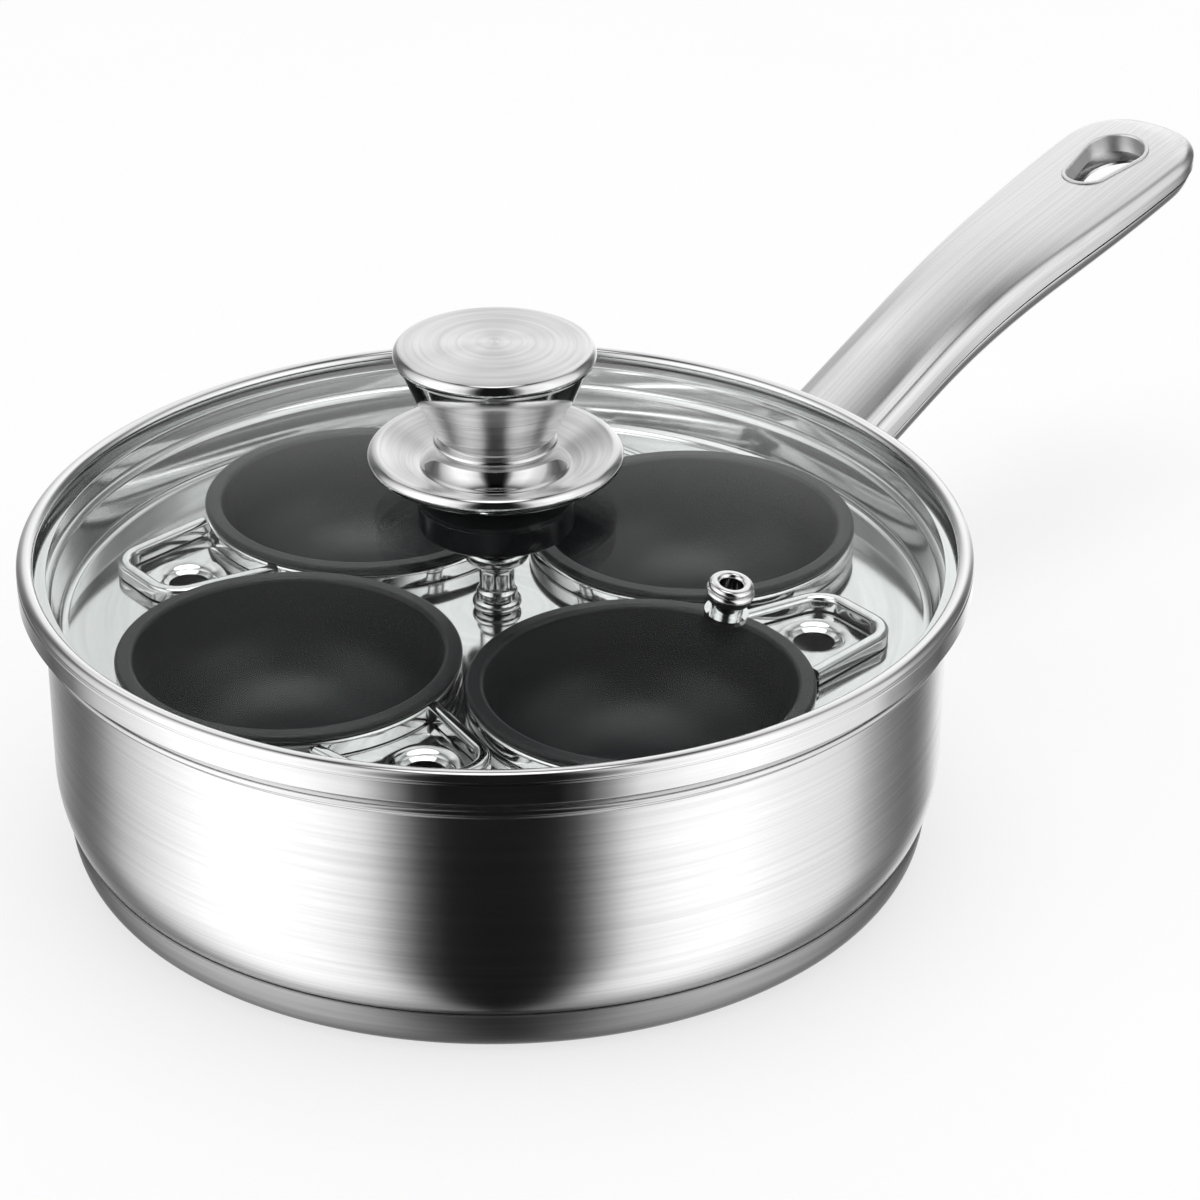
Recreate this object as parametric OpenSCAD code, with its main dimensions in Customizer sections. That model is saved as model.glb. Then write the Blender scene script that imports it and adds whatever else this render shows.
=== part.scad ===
// Egg poacher pan: a straight-sided pan with a long hollow handle, a lift-out tray that holds
// four coated cups by their ring handles, and a domed glass lid with a steel rim and knob.
// Millimetres, +Z up. The origin is on the pan's axis, on the worktop, and the handle points along +X.

/* [Pan] */
// Outer diameter of the pan's straight wall
pan_d = 200; // [196:1:230]
// Height of the pan's rim above the worktop
pan_h = 61.4; // [56:0.2:80]
// Thickness of the pan's sheet steel
pan_wall = 1; // [0.8:0.1:1.4]
// Radius of the rolled bead on the pan's rim
bead_r = 1.2; // [1:0.1:1.5]
// Width of the rounded corner between the wall and the floor
corner_w = 8.8; // [7:0.2:11]
// Height of the rounded corner between the wall and the floor
corner_h = 17.6; // [14:0.2:20]

/* [Base] */
// Thickness of the aluminium core under the floor
core_t = 5; // [4:0.2:6]
// Thickness of the steel cap that wraps the core
base_cap_t = 1; // [0.8:0.1:1.4]
// Height of the base cap's edge, where the seam runs
seam_z = 9.4; // [8.4:0.1:10.4]
// How far the base cap draws in from its edge to the worktop
base_draft = 4.9; // [3:0.1:6]

/* [Handle] */
// Length of the handle from the pan's wall to its tip
handle_len = 164; // [150:1:190]
// Height of the handle's upper face where it meets the wall
handle_root_z = 48.4; // [46:0.2:49]
// Slope of the handle near the pan, rise over run
root_slope = 0.39; // [0.3:0.01:0.5]
// Slope of the handle near its tip, rise over run
tip_slope = 0.178; // [0.1:0.01:0.25]
// Half width of the handle's upper face near the pan
root_half_w = 12.5; // [11:0.1:14]
// Half width of the handle's upper face near the tip
tip_half_w = 16.8; // [15.6:0.1:18]
// Length of the rounded end of the handle
tip_round = 17.8; // [15:0.1:20]
// Height of the crown on the handle's upper face
crown_h = 1.5; // [1:0.1:2]
// Depth from the upper face's edge to the seam between the two shells
shell_seam = 6.2; // [5.6:0.1:6.8]
// Depth from the upper face's edge to the lowest line of the handle
handle_depth = 14.7; // [13:0.1:16]
// Sheet thickness of the two handle shells
shell_t = 1; // [0.8:0.1:1.2]
// Distance from the tip to the middle of the hanging slot
slot_from_tip = 24; // [22:0.2:28]
// Radius of the slot's end that is nearer the pan
slot_near_r = 6; // [5:0.1:6.6]
// Radius of the slot's end that is nearer the tip
slot_far_r = 8.4; // [7:0.1:9]
// Distance between the centres of the slot's two ends
slot_span = 13.5; // [11:0.1:15]
// Depth of the rim that lines the slot in the upper shell
slot_rim_h = 3.4; // [2:0.1:5]
// How much wider the opening in the lower shell is than the slot, all round
slot_relief = 3; // [1:0.1:4]

/* [Tray] */
// Thickness of the tray's sheet steel
tray_t = 0.8; // [0.6:0.1:1]
// Depth of the tray's flat below its flange
tray_drop = 9.4; // [8:0.1:11]
// Clearance between the tray's wall and the pan's wall
tray_gap = 0.4; // [0.3:0.05:0.8]
// Radius of each steam hole
steam_r = 4.6; // [4:0.1:5]
// Width of the dished ring around each steam hole
steam_dish_w = 4.4; // [3:0.1:5]
// Distance from the steam holes' centres to the edge of the tray's flat
steam_inset = 24; // [21:0.1:26]
// Height of the lifting post above the tray
post_h = 15.6; // [13:0.2:16]
// Radius of the lifting post's neck
post_neck_r = 3.9; // [3.4:0.1:4.4]

/* [Cups] */
// Clearance between the lips of neighbouring cups
cup_space = 1.9; // [1.4:0.1:8]
// Width of a cup's lip
lip_w = 3.8; // [3.2:0.1:4.2]
// Height of a cup's lip above the tray
lip_z = 5.8; // [5.4:0.1:6.6]
// Depth of a cup inside, from its lip to its floor
cup_depth = 25.8; // [22:0.2:28]
// Wall thickness of a cup
cup_wall = 1.6; // [1.2:0.1:2]
// Distance from a cup's lip to the edge of the tray's flat
cup_inset = 3.9; // [3:0.1:5.6]
// Height of a cup's ring and of the loop it carries
ring_h = 3.7; // [3.2:0.1:4]
// Width of the loop's bar
loop_bar = 3.2; // [2.8:0.1:3.6]
// Reach of the loop past the middle of the steam hole
loop_reach = 13; // [11:0.2:14]
// Clearance between the end of a loop and the next cup's ring
loop_clear = 2.3; // [1.6:0.1:3]
// How much wider the loop is on each side where it leaves the ring
loop_flare = 3; // [1:0.1:3.4]
// Radius of the bends at the loop's end, along the middle of its bar
loop_bend = 7; // [5:0.1:9]
// How far the loop lies outwards of the line through the cup and the steam hole
loop_shift = 1.6; // [1:0.1:2.4]

/* [Lid] */
// How far the lid's rim stands out past the pan's wall
lid_overhang = 5.4; // [4.6:0.1:6]
// Height of the lid's outer band
band_h = 4.8; // [4:0.1:6]
// Sheet thickness of the lid's rim
band_t = 1; // [0.8:0.1:1.2]
// Height of the gap between the tray's flange and the lid's outer band
band_gap = 2.6; // [2:0.1:3]
// Thickness of the lid's glass
glass_t = 4; // [3.6:0.1:4.6]
// Height of the glass dome from its edge to its middle
dome_rise = 14.2; // [12:0.1:18]
// Distance of the steam vent from the lid's axis
vent_r = 66; // [50:0.5:75]
// Direction of the steam vent, in degrees from the handle
vent_angle = -90.5; // [-100:0.5:-70]
// Radius of the steam vent's bore
vent_bore_r = 2.4; // [2:0.1:2.8]

/* [Knob] */
// Radius of the knob's saucer
saucer_r = 28.1; // [25:0.1:32]
// Height of the knob's seat above the glass, filled by its gasket
knob_seat = 0.7; // [0.5:0.1:1]
// Height from the saucer's underside to its dished face
saucer_dish = 3.9; // [3.4:0.1:4.6]
// Height of the saucer's rim above its dished face
saucer_rise = 4.2; // [3:0.1:5]
// Radius of the saucer's rounded edge
saucer_edge = 2; // [1.6:0.1:2.4]
// Height of the knob's base from the saucer's underside to the waist
base_h = 10.4; // [9.4:0.1:12]
// How far the skirt flares out from the waist
skirt_flare = 2.9; // [2:0.1:3.6]
// Height of the recessed neck between waist and grip
groove_h = 1.3; // [1:0.1:2.2]
// Radius of the knob's waist
waist_r = 13.3; // [12:0.1:15]
// Radius of the knob's cap
cap_r = 22.1; // [20:0.1:25]
// Height of the knob's tapered grip
grip_h = 16.5; // [13:0.1:20]
// Height of the knob's cap
cap_h = 4.7; // [4:0.1:7]
// Height of the crown on the knob's cap
cap_crown = 0.9; // [0.4:0.1:1.6]
// Radius of the washer under the glass
washer_r = 17.3; // [14:0.1:19]
// Height of the washer under the glass
washer_h = 6.2; // [4:0.1:6.4]

/* [Fits] */
// Clearance of the base cap round the pan's corner and the core
cap_fit = 0.05; // [0.02:0.01:0.1]
// Clearance of a welded piece from the curved face it sits on
weld_gap = 0.05; // [0.02:0.01:0.1]
// Gap where one loose piece rests on another
seat_gap = 0.2; // [0.15:0.05:0.4]
// Clearance between a cup and its hole in the tray
cup_gap = 0.8; // [0.6:0.1:1.2]
// Clearance of a gasket's curved face from the glass
skin_gap = 0.1; // [0.05:0.05:0.2]
// Radial clearance of a screw in a plain hole
screw_gap = 0.3; // [0.2:0.05:0.5]

/* [Hidden] */
$fn = 128;
steel = [0.78, 0.78, 0.79];
bright_steel = [0.88, 0.88, 0.9];
coating = [0.17, 0.17, 0.18];
black_rubber = [0.06, 0.06, 0.07];

// Pan
pan_r = pan_d / 2;
pan_in_r = pan_r - pan_wall;
floor_z = base_cap_t + core_t;
corner_r0 = pan_r - corner_w;
corner_z = floor_z + corner_h;
bead_c = [pan_r + 0.3, pan_h - bead_r];
pan_corner = arc([corner_r0, corner_z], corner_w, corner_h, -90, 0, 16);
cap_lap = 0.9;

// Tray
flange_z = pan_h + seat_gap;
flange_top = flange_z + tray_t;
tray_z = flange_top - tray_drop;
tray_wall_r = pan_in_r - tray_gap;
tray_flat_r = tray_wall_r - tray_t - 2.5;
flange_r = pan_r + 2.6;
hem_r = 0.75;
steam_pitch = tray_flat_r - steam_inset;

// Cups
// The largest four lips that fit the tray's flat with their clearances
cup_d = (sqrt(2) * (tray_flat_r - cup_inset) - cup_space) / (1 + 1 / sqrt(2));
lip_r = cup_d / 2;
cup_pitch = tray_flat_r - cup_inset - lip_r;
cup_angles = [-14, 76, 166, 256];
steam_turn = 43.5;
bowl_r = lip_r - lip_w;
bowl_out_r = bowl_r + cup_wall * 0.5;
ring_z = tray_z + seat_gap;
ring_top = ring_z + ring_h;
lip_top = tray_z + lip_z;
cup_floor_z = lip_top - cup_depth;
cup_flat_r = 12;
cup_hole_r = bowl_out_r + cup_gap;
ring_r = lip_r - 0.1;
// The steam hole as seen from its cup, whose +X points away from the pan's axis
steam_at = [steam_pitch * cos(steam_turn) - cup_pitch, steam_pitch * sin(steam_turn)];
loop_aim = atan2(steam_at[1], steam_at[0]);
// The next cup's distance from the line through this cup and the steam hole
next_cup_side = cup_pitch * (sin(loop_aim) + cos(loop_aim));
loop_end_w = next_cup_side - ring_r - loop_clear + loop_shift - loop_bar / 2;
loop_root_w = loop_end_w + loop_flare;

// Lid
band_r = pan_r + lid_overhang;
band_z = flange_top + band_gap;
ledge_z = band_z + 0.4;
roll_z = band_z + band_h + 0.6;
roll_w = 3.6;
roll_h = 1.6;
ledge_r = pan_in_r - 0.2;
glass_r = band_r - band_t - 0.4;
dome_edge_r = band_r - roll_w;
dome_r = (dome_edge_r * dome_edge_r + dome_rise * dome_rise) / (2 * dome_rise);
dome_top = roll_z + dome_rise;
dome_c = dome_top - dome_r;
vent_tilt = asin(vent_r / dome_r);

// Knob
screw_r = 2.5;
gasket_t = 0.9;
saucer_z = dome_top + knob_seat;
skirt_z = saucer_z + saucer_dish;
saucer_rim_z = skirt_z + saucer_rise;
waist_z = saucer_z + base_h;
grip_z = waist_z + groove_h;
cap_z = grip_z + grip_h;
knob_top = cap_z + cap_h;
inner_z = dome_top - glass_t - gasket_t - 0.4;
screw_head_h = 2.2;

// Handle
slot_s = pan_r + handle_len - slot_from_tip;
tip_s = pan_r + handle_len;
tip_c = tip_s - tip_round;
bend_from = pan_r + 40;
bend_to = pan_r + 110;
flare_from = pan_r + 50;
flare_to = pan_r + 145;
side_w = 1.8;
side_steps = 20;
tip_steps = 18;
saddle_t = 0.9;
handle_taper = 0.17;
tip_square = 0.8;

// A quarter of an ellipse: n + 1 points about c, half sizes a and b, from angle a0 to a1
function arc(c, a, b, a0, a1, n) = [
    for (i = [0 : n]) let (t = a0 + (a1 - a0) * i / n) [c[0] + a * cos(t), c[1] + b * sin(t)]
];

// A smooth step from 0 to 1
function ease(x) = let (u = max(0, min(1, x))) 3 * u * u - 2 * u * u * u;

// The area under that step from 0 to x
function ease_sum(x) = let (u = max(0, min(1, x))) u * u * u - u * u * u * u / 2 + max(0, x - 1);

// Height of the handle's upper face at the distance s from the pan's axis
function spine_z(s) =
    handle_root_z + root_slope * (s - pan_r)
    + (tip_slope - root_slope) * (bend_to - bend_from) * ease_sum((s - bend_from) / (bend_to - bend_from));

// Half width of the handle's upper face
function face_w(s) =
    root_half_w + (tip_half_w - root_half_w) * ease((s - flare_from) / (flare_to - flare_from));

// The handle keeps its depth for 40% of its length and then grows thinner towards its tip
function depth_at(s) = 1 - handle_taper * ease((s - pan_r) / handle_len / 0.6 - 2 / 3);

// A sine or cosine drawn out towards the corners, for the tip's squarer round
function squared(x) = sign(x) * pow(abs(x), tip_square);

// One line along the handle, round its tip and back: k is its share of the face's width,
// d its distance outside the face's edge, and z its height above the edge
function handle_line(k, d, z) = [
    for (i = [0 : side_steps + tip_steps + side_steps])
        let (
            right = i < side_steps,
            left = i > side_steps + tip_steps,
            start = pan_r - 3,
            u = right ? i / side_steps : left ? (2 * side_steps + tip_steps - i) / side_steps : 1,
            th = right ? 0 : left ? 180 : 180 * (i - side_steps) / tip_steps,
            reach = tip_round * (0.6 + 0.4 * k) + d,
            s = start + (tip_c - start) * u + reach * squared(sin(th)),
            w = (face_w(start + (tip_c - start) * u) * k + d) * squared(cos(th))
        )
        [s, -w, spine_z(s) + z * depth_at(s)]
];

// A hollow shell with the given section, swept round the handle. The section's rows run from the seam
// to the centre line: the line's share of the face's width, its distance outside the face's edge, its
// height above the edge, and the way in to the shell's inner face, sideways and up.
module handle_skin(section, below) {
    m = len(section);
    lines = concat(
        [for (r = section) handle_line(r[0], r[1], r[2])],
        [for (j = [m - 1 : -1 : 0])
            let (r = section[j])
                handle_line(r[0], r[1] + shell_t * r[3], r[2] + shell_t * r[4])]
    );
    n = len(lines[0]);
    count = 2 * m;
    half = side_steps + tip_steps / 2;
    // Both sides of the handle share the points of the two centre lines
    function id(j, i) = j * n + (((j == m - 1 || j == m) && i > half) ? n - 1 - i : i);
    skins = [
        for (j = [0 : count - 1], i = [0 : n - 2])
            let (k = (j + 1) % count, a = id(j, i), b = id(j, i + 1), c = id(k, i + 1), d = id(k, i))
                if (j != m - 1) each [[a, b, c], [a, c, d]]
    ];
    roots = [
        for (j = [0 : m - 2], i = [0, n - 1])
            let (
                a = id(j, i), b = id(j + 1, i), c = id(count - 2 - j, i), d = id(count - 1 - j, i),
                quad = i == 0 ? [a, b, c, d] : [b, a, d, c]
            )
                each [[quad[0], quad[1], quad[2]], [quad[0], quad[2], quad[3]]]
    ];
    faces = [for (f = concat(skins, roots)) if (f[0] != f[1] && f[1] != f[2] && f[0] != f[2]) f];
    flipped = [for (f = faces) [f[2], f[1], f[0]]];
    polyhedron([for (line = lines) each line], below ? flipped : faces, convexity = 6);
}

// The slot's outline, an egg shape: a small arc towards the pan and a large one towards the tip
module slot_outline(grow) {
    x0 = -slot_span / 2 - 1.4;
    x1 = x0 + slot_span;
    lean = asin((slot_far_r - slot_near_r) / slot_span);
    near = slot_near_r + grow;
    far = slot_far_r + grow;
    polygon(concat(
        arc([x0, 0], near, near, 90 + lean, 270 - lean, 14),
        arc([x1, 0], far, far, -90 - lean, 90 + lean, 20)
    ));
}

// Places a child on the handle's upper face at the slot, square to it
module at_slot() {
    translate([slot_s, 0, spine_z(slot_s)])
        rotate([0, -atan(tip_slope), 0])
            children();
}

// Places a child on the glass at the steam vent, square to the dome
module at_vent() {
    translate([0, 0, dome_c])
        rotate([0, vent_tilt, 0])
            translate([0, 0, dome_r])
                children();
}

// Places a child on a cup's axis, with +X away from the pan's axis
module at_cup(i) {
    rotate([0, 0, cup_angles[i]])
        translate([cup_pitch, 0, 0])
            children();
}

// The pan's wall, corner, floor and rolled rim in one sheet
module pan_body() {
    inside = arc([corner_r0, corner_z], corner_w - pan_wall, corner_h - pan_wall, 0, -90, 16);
    color(steel)
    rotate_extrude()
    union() {
        polygon(concat(
            [[0, floor_z]],
            pan_corner,
            [[pan_r, bead_c[1]], [pan_in_r, bead_c[1] + bead_r * 0.3]],
            inside,
            [[0, floor_z + pan_wall]]
        ));
        translate(bead_c)
            circle(bead_r);
    }
}

// The aluminium disc between the floor and the cap
module base_core() {
    color("silver")
    translate([0, 0, base_cap_t])
        cylinder(h = core_t, r = corner_r0);
}

// The pressed steel cap that wraps the core and hugs the pan's corner
module base_cap() {
    edge_t = (floor_z + corner_h - seam_z) / corner_h;
    edge_r = corner_r0 + corner_w * sqrt(1 - edge_t * edge_t);
    // The cap follows the pan's own corner up to the seam
    hug = concat(
        [[edge_r + cap_fit, seam_z]],
        [for (i = [len(pan_corner) - 1 : -1 : 0])
            if (pan_corner[i][1] < seam_z) pan_corner[i] + [cap_fit, 0]]
    );
    outer_r = edge_r + cap_lap;
    color(steel)
    rotate_extrude()
    polygon(concat(
        [[0, 0], [outer_r - base_draft - 0.6, 0], [outer_r - base_draft, 0.5]],
        arc([outer_r - base_draft, seam_z - 0.3], base_draft, seam_z - 1.6, -62, 0, 8),
        [[outer_r - 0.25, seam_z]],
        hug,
        [[corner_r0 + cap_fit, base_cap_t], [0, base_cap_t]]
    ));
}

// The curved plate that joins the handle to the wall
module handle_saddle() {
    mid_z = handle_root_z - handle_depth / 2;
    color(steel)
    intersection() {
        difference() {
            cylinder(h = pan_h - 3, r = pan_r + saddle_t);
            translate([0, 0, -1])
                cylinder(h = pan_h, r = pan_r + weld_gap);
        }
        translate([0, 0, mid_z])
            rotate([0, 90, 0])
                linear_extrude(pan_d) {
                    square([handle_depth - 1, 2 * root_half_w + 8], center = true);
                    square([handle_depth + 3, 2 * root_half_w + 4], center = true);
                }
    }
}

// The upper shell: seam, side, rounded shoulder and crowned face
module handle_upper_shell() {
    section = concat(
        [
            [1, side_w, -shell_seam, -1, 0],
            [1, side_w, -3.8, -1, 0],
            [1, side_w - 0.25, -2.6, -1, -0.2],
            [1, side_w - 0.75, -1.4, -0.9, -0.6],
            [1, 0.1, -0.5, -0.6, -0.9],
            [1, -0.9, 0.05, -0.3, -1]
        ],
        [for (j = [4 : -1 : 0]) let (k = j / 5) [k, 0, crown_h * (1 - k * k), 0, -1]]
    );
    color(steel)
    difference() {
        handle_skin(section, false);
        cylinder(h = 2 * pan_h, r = pan_r + saddle_t + weld_gap);
        at_slot()
            translate([0, 0, -handle_depth])
                linear_extrude(2 * handle_depth)
                    slot_outline(0);
    }
}

// The lower shell: tucked in under the seam, down the side, round the edge and across the underside
module handle_lower_shell() {
    edge = side_w - 0.5;
    low = handle_depth;
    section = [
        [1, edge, -shell_seam, -1, 0],
        [1, edge - 0.4, -low + 4.8, -1, 0.1],
        [1, -0.4, -low + 2.8, -0.85, 0.6],
        [1, -2.2, -low + 1.3, -0.55, 0.9],
        [1, -4.6, -low + 0.5, -0.25, 1],
        [0.25, 0, -low + 0.1, 0, 1],
        [0, 0, -low, 0, 1]
    ];
    color(steel)
    difference() {
        handle_skin(section, true);
        cylinder(h = 2 * pan_h, r = pan_r + saddle_t + weld_gap);
        at_slot()
            translate([slot_relief + 1, 0, -2 * handle_depth])
                linear_extrude(2 * handle_depth)
                    slot_outline(slot_relief);
    }
}

// The bright rim that lines the hanging slot in the upper shell
module hanging_slot_sleeve() {
    color(bright_steel)
    at_slot()
        translate([0, 0, -slot_rim_h])
            linear_extrude(slot_rim_h + 0.2)
                difference() {
                    slot_outline(0);
                    slot_outline(-0.8);
                }
}

// The tray: hemmed flange, wall, flat with four cup holes, and dished steam holes
module tray_plate() {
    wall_foot = tray_wall_r - 1;
    top_r = tray_wall_r + 1.2;
    profile = concat(
        [[0, tray_z - tray_t], [tray_flat_r, tray_z - tray_t]],
        arc([wall_foot - 2, tray_z - tray_t + 2], 2, 2, -70, 0, 5),
        [[tray_wall_r, flange_z - 1.2]],
        arc([tray_wall_r + 1.2, flange_z - 1.2], 1.2, 1.2, 180, 90, 5),
        [[flange_r, flange_z], [flange_r, flange_top]],
        arc([top_r, flange_top - 2], 2, 2, 90, 180, 6),
        [[wall_foot - tray_t, tray_z + 1.8]],
        arc([wall_foot - tray_t - 1.8, tray_z + 1.8], 1.8, 1.8, 0, -70, 5),
        [[tray_flat_r - 0.4, tray_z], [0, tray_z]]
    );
    color(bright_steel)
    difference() {
        union() {
            rotate_extrude() {
                polygon(profile);
                translate([flange_r, flange_top - hem_r])
                    circle(hem_r, $fn = 32);
            }
            for (a = cup_angles)
                rotate([0, 0, a + steam_turn])
                    translate([steam_pitch, 0, tray_z - 2 * tray_t])
                        cylinder(h = tray_t + 0.1, r1 = steam_r + 0.8, r2 = steam_r + steam_dish_w);
        }
        for (a = cup_angles) {
            rotate([0, 0, a])
                translate([cup_pitch, 0, tray_z - 3])
                    cylinder(h = 6, r = cup_hole_r);
            rotate([0, 0, a + steam_turn])
                translate([steam_pitch, 0, tray_z]) {
                    translate([0, 0, -tray_t])
                        cylinder(h = tray_t, r1 = steam_r + 0.4, r2 = steam_r + steam_dish_w);
                    translate([0, 0, -4])
                        cylinder(h = 8, r = steam_r);
                }
        }
        translate([0, 0, tray_z - 3])
            cylinder(h = 6, r = screw_r + screw_gap);
    }
}

// The turned post that lifts the tray out, with a waisted neck and a round head
module lifting_post() {
    foot_r = post_neck_r + 1.3;
    head_r = post_neck_r + 3.4;
    top = tray_z + post_h;
    color(steel)
    difference() {
        rotate_extrude()
        polygon(concat(
            [[0, tray_z], [foot_r - 0.9, tray_z]],
            arc([foot_r - 1.4, tray_z + 1.8], 1.4, 1.8, -60, 60, 8),
            [[post_neck_r + 0.2, tray_z + 4.4], [post_neck_r, tray_z + 5.6]],
            [[post_neck_r, top - 6], [post_neck_r + 0.8, top - 4.6]],
            arc([head_r - 1.8, top - 2], 1.8, 2, -60, 90, 10),
            [[0, top + 0.4]]
        ));
        translate([0, 0, tray_z - 1])
            cylinder(h = 9, r = screw_r);
    }
}

// The washer under the tray's middle
module post_washer() {
    color(steel)
    translate([0, 0, tray_z - tray_t - 1])
        difference() {
            cylinder(h = 1, r = screw_r + 4);
            translate([0, 0, -1])
                cylinder(h = 3, r = screw_r + screw_gap);
        }
}

// The screw that holds the lifting post from below
module post_screw() {
    under = tray_z - tray_t - 1;
    color(steel)
    rotate_extrude()
    polygon(concat(
        [[0, under - 2]],
        arc([screw_r, under - 0.6], 1.9, 1.4, -90, 0, 6),
        [[screw_r + 1.9, under], [screw_r, under], [screw_r, tray_z + 7], [0, tray_z + 7]]
    ));
}

// A cup: rounded lip, round bowl and small flat floor
module egg_cup(i) {
    wall_top = tray_z - 3;
    under = ring_top;
    bowl_h = wall_top - (cup_floor_z - cup_wall);
    inner_foot = bowl_out_r - cup_wall;
    edge = (lip_top - under) / 2;
    color(coating)
    at_cup(i)
        rotate_extrude()
        polygon(concat(
            [[0, cup_floor_z - cup_wall]],
            arc([cup_flat_r, wall_top], bowl_out_r - cup_flat_r, bowl_h, -90, 0, 20),
            [[bowl_out_r, under]],
            [[lip_r - edge - 0.3, under]],
            arc([lip_r - edge, under + edge], edge, edge, -70, 90, 9),
            arc([bowl_r + 0.7, lip_top - 1], 0.9, 1, 90, 165, 5),
            [[inner_foot, wall_top]],
            arc([cup_flat_r, wall_top], inner_foot - cup_flat_r, bowl_h - cup_wall, -1, -90, 20),
            [[0, cup_floor_z]]
        ));
}

// The loop seen from above, one bar bent to a U: from the ring at x0 out to the reach x1 and back.
// The bar is drawn in by inset on both sides.
module loop_outline(x0, x1, inset) {
    half = loop_bar / 2 - inset;
    bend = loop_bend;
    lean = atan((loop_root_w - loop_end_w) / (x1 - x0));
    cx = x1 - loop_bar / 2 - bend;
    cy = loop_end_w - bend;
    run = loop_root_w - cy;
    outside = concat(
        [[x0, -run - cy - half]],
        arc([cx, -cy], bend + half, bend + half, -90 + lean, 0, 8),
        arc([cx, cy], bend + half, bend + half, 0, 90 - lean, 8),
        [[x0, run + cy + half]]
    );
    inside = concat(
        [[x0, run + cy - half]],
        arc([cx, cy], bend - half, bend - half, 90 - lean, 0, 6),
        arc([cx, -cy], bend - half, bend - half, 0, -90 + lean, 6),
        [[x0, -run - cy + half]]
    );
    polygon(concat(outside, inside));
}

// The ring that a cup's lip sits on, with the loop that reaches round the steam hole
module cup_ring(i) {
    reach = norm(steam_at) + loop_reach;
    inner = bowl_out_r + 0.1;
    edge = 0.7;
    // Both ends of the bar start inside the ring, whatever the loop's width
    root_side = loop_root_w + loop_bar / 2 + loop_shift;
    start = sqrt(ring_r * ring_r - root_side * root_side) - 0.4;
    color(bright_steel)
    at_cup(i)
        translate([0, 0, ring_z]) {
            rotate_extrude()
            polygon(concat(
                [[inner, 0], [ring_r, 0]],
                arc([ring_r - edge, ring_h - edge], edge, edge, 0, 90, 5),
                [[inner, ring_h]]
            ));
            difference() {
                rotate([0, 0, loop_aim])
                    translate([0, -loop_shift, 0.1]) {
                        linear_extrude(ring_h - edge)
                            loop_outline(start, reach, 0);
                        linear_extrude(ring_h - 0.2)
                            loop_outline(start, reach, edge * 0.6);
                    }
                translate([0, 0, -1])
                    cylinder(h = ring_h + 2, r = inner + 0.5);
            }
        }
}

// The lid's steel rim: outer band, rolled top edge, ledge for the glass and the leg it stands on
module lid_band() {
    r = band_r;
    leg = ledge_r + 0.4;
    color(bright_steel)
    rotate_extrude()
    polygon(concat(
        [[r - band_t, band_z], [r - 0.1, band_z], [r, band_z + 0.1]],
        [[r, roll_z - 0.95], [r - 0.35, roll_z - 0.6], [r - 0.3, roll_z - 0.4]],
        arc([r - roll_w / 2, roll_z], roll_w / 2, roll_h, 0, 180, 18),
        [[r - band_t, roll_z], [r - band_t, ledge_z + 1]],
        [[ledge_r, ledge_z + 1], [ledge_r, ledge_z]],
        [[leg, ledge_z], [leg, flange_top + seat_gap], [leg + 1.2, flange_top + seat_gap]],
        [[leg + 1.2, ledge_z], [r - band_t, ledge_z]]
    ));
}

// The tempered glass: a spherical dome with a ground edge, bored for the knob and the vent
module lid_glass() {
    color([0.8, 0.86, 0.86, 0.35])
    difference() {
        intersection() {
            translate([0, 0, dome_c])
                difference() {
                    sphere(dome_r);
                    sphere(dome_r - glass_t);
                }
            translate([0, 0, ledge_z + 1])
                cylinder(h = dome_rise + 20, r = glass_r);
        }
        cylinder(h = 2 * knob_top, r = screw_r + 1.5);
        rotate([0, 0, vent_angle])
            at_vent()
                translate([0, 0, -2 * glass_t])
                    cylinder(h = 3 * glass_t, r = vent_bore_r + 1.1);
    }
}

// The vent's eyelet: two stacked beads on a barrel that passes through the glass
module vent_eyelet() {
    flat = 0.8;
    color(bright_steel)
    rotate([0, 0, vent_angle])
        at_vent()
            rotate_extrude($fn = 64)
            polygon(concat(
                [[vent_bore_r, -glass_t - 1.6], [vent_bore_r + 0.8, -glass_t - 1.6]],
                [[vent_bore_r + 0.8, flat]],
                [[vent_bore_r + 1.6, flat]],
                arc([vent_bore_r + 1.6, flat + 0.9], 1.2, 0.9, -80, 70, 8),
                arc([vent_bore_r + 1.3, flat + 2.4], 1.1, 1, -60, 90, 8),
                arc([vent_bore_r + 1, flat + 2.4], 1, 1, 95, 180, 5)
            ));
}

// The black washer between the eyelet and the glass
module vent_gasket() {
    color(black_rubber)
    rotate([0, 0, vent_angle])
        at_vent()
            translate([0, 0, 0.02])
                difference() {
                    cylinder(h = 0.78, r = vent_bore_r + 2.3, $fn = 64);
                    translate([0, 0, -1])
                        cylinder(h = 3, r = vent_bore_r + 0.85, $fn = 64);
                }
}

// The steel washer that the eyelet's barrel is spread over, under the glass
module vent_washer() {
    color(bright_steel)
    rotate([0, 0, vent_angle])
        at_vent()
            translate([0, 0, -glass_t - seat_gap - 1.1])
                difference() {
                    cylinder(h = 1.1, r = vent_bore_r + 2.3, $fn = 64);
                    translate([0, 0, -1])
                        cylinder(h = 4, r = vent_bore_r + 0.8, $fn = 64);
                }
}

// Points on a sphere of radius r about the dome's centre, from the radius x0 to x1
function on_dome(r, x0, x1) = [
    for (j = [0 : 6])
        let (x = x0 + (x1 - x0) * j / 6)
            [x, dome_c + sqrt(r * r - x * x)]
];

// The black gasket between the knob and the glass, seated on the dome
module knob_gasket() {
    color(black_rubber)
    rotate_extrude()
    polygon(concat(
        on_dome(dome_r + skin_gap, screw_r + screw_gap, washer_r - 1),
        [[washer_r - 1, saucer_z], [screw_r + screw_gap, saucer_z]]
    ));
}

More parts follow.
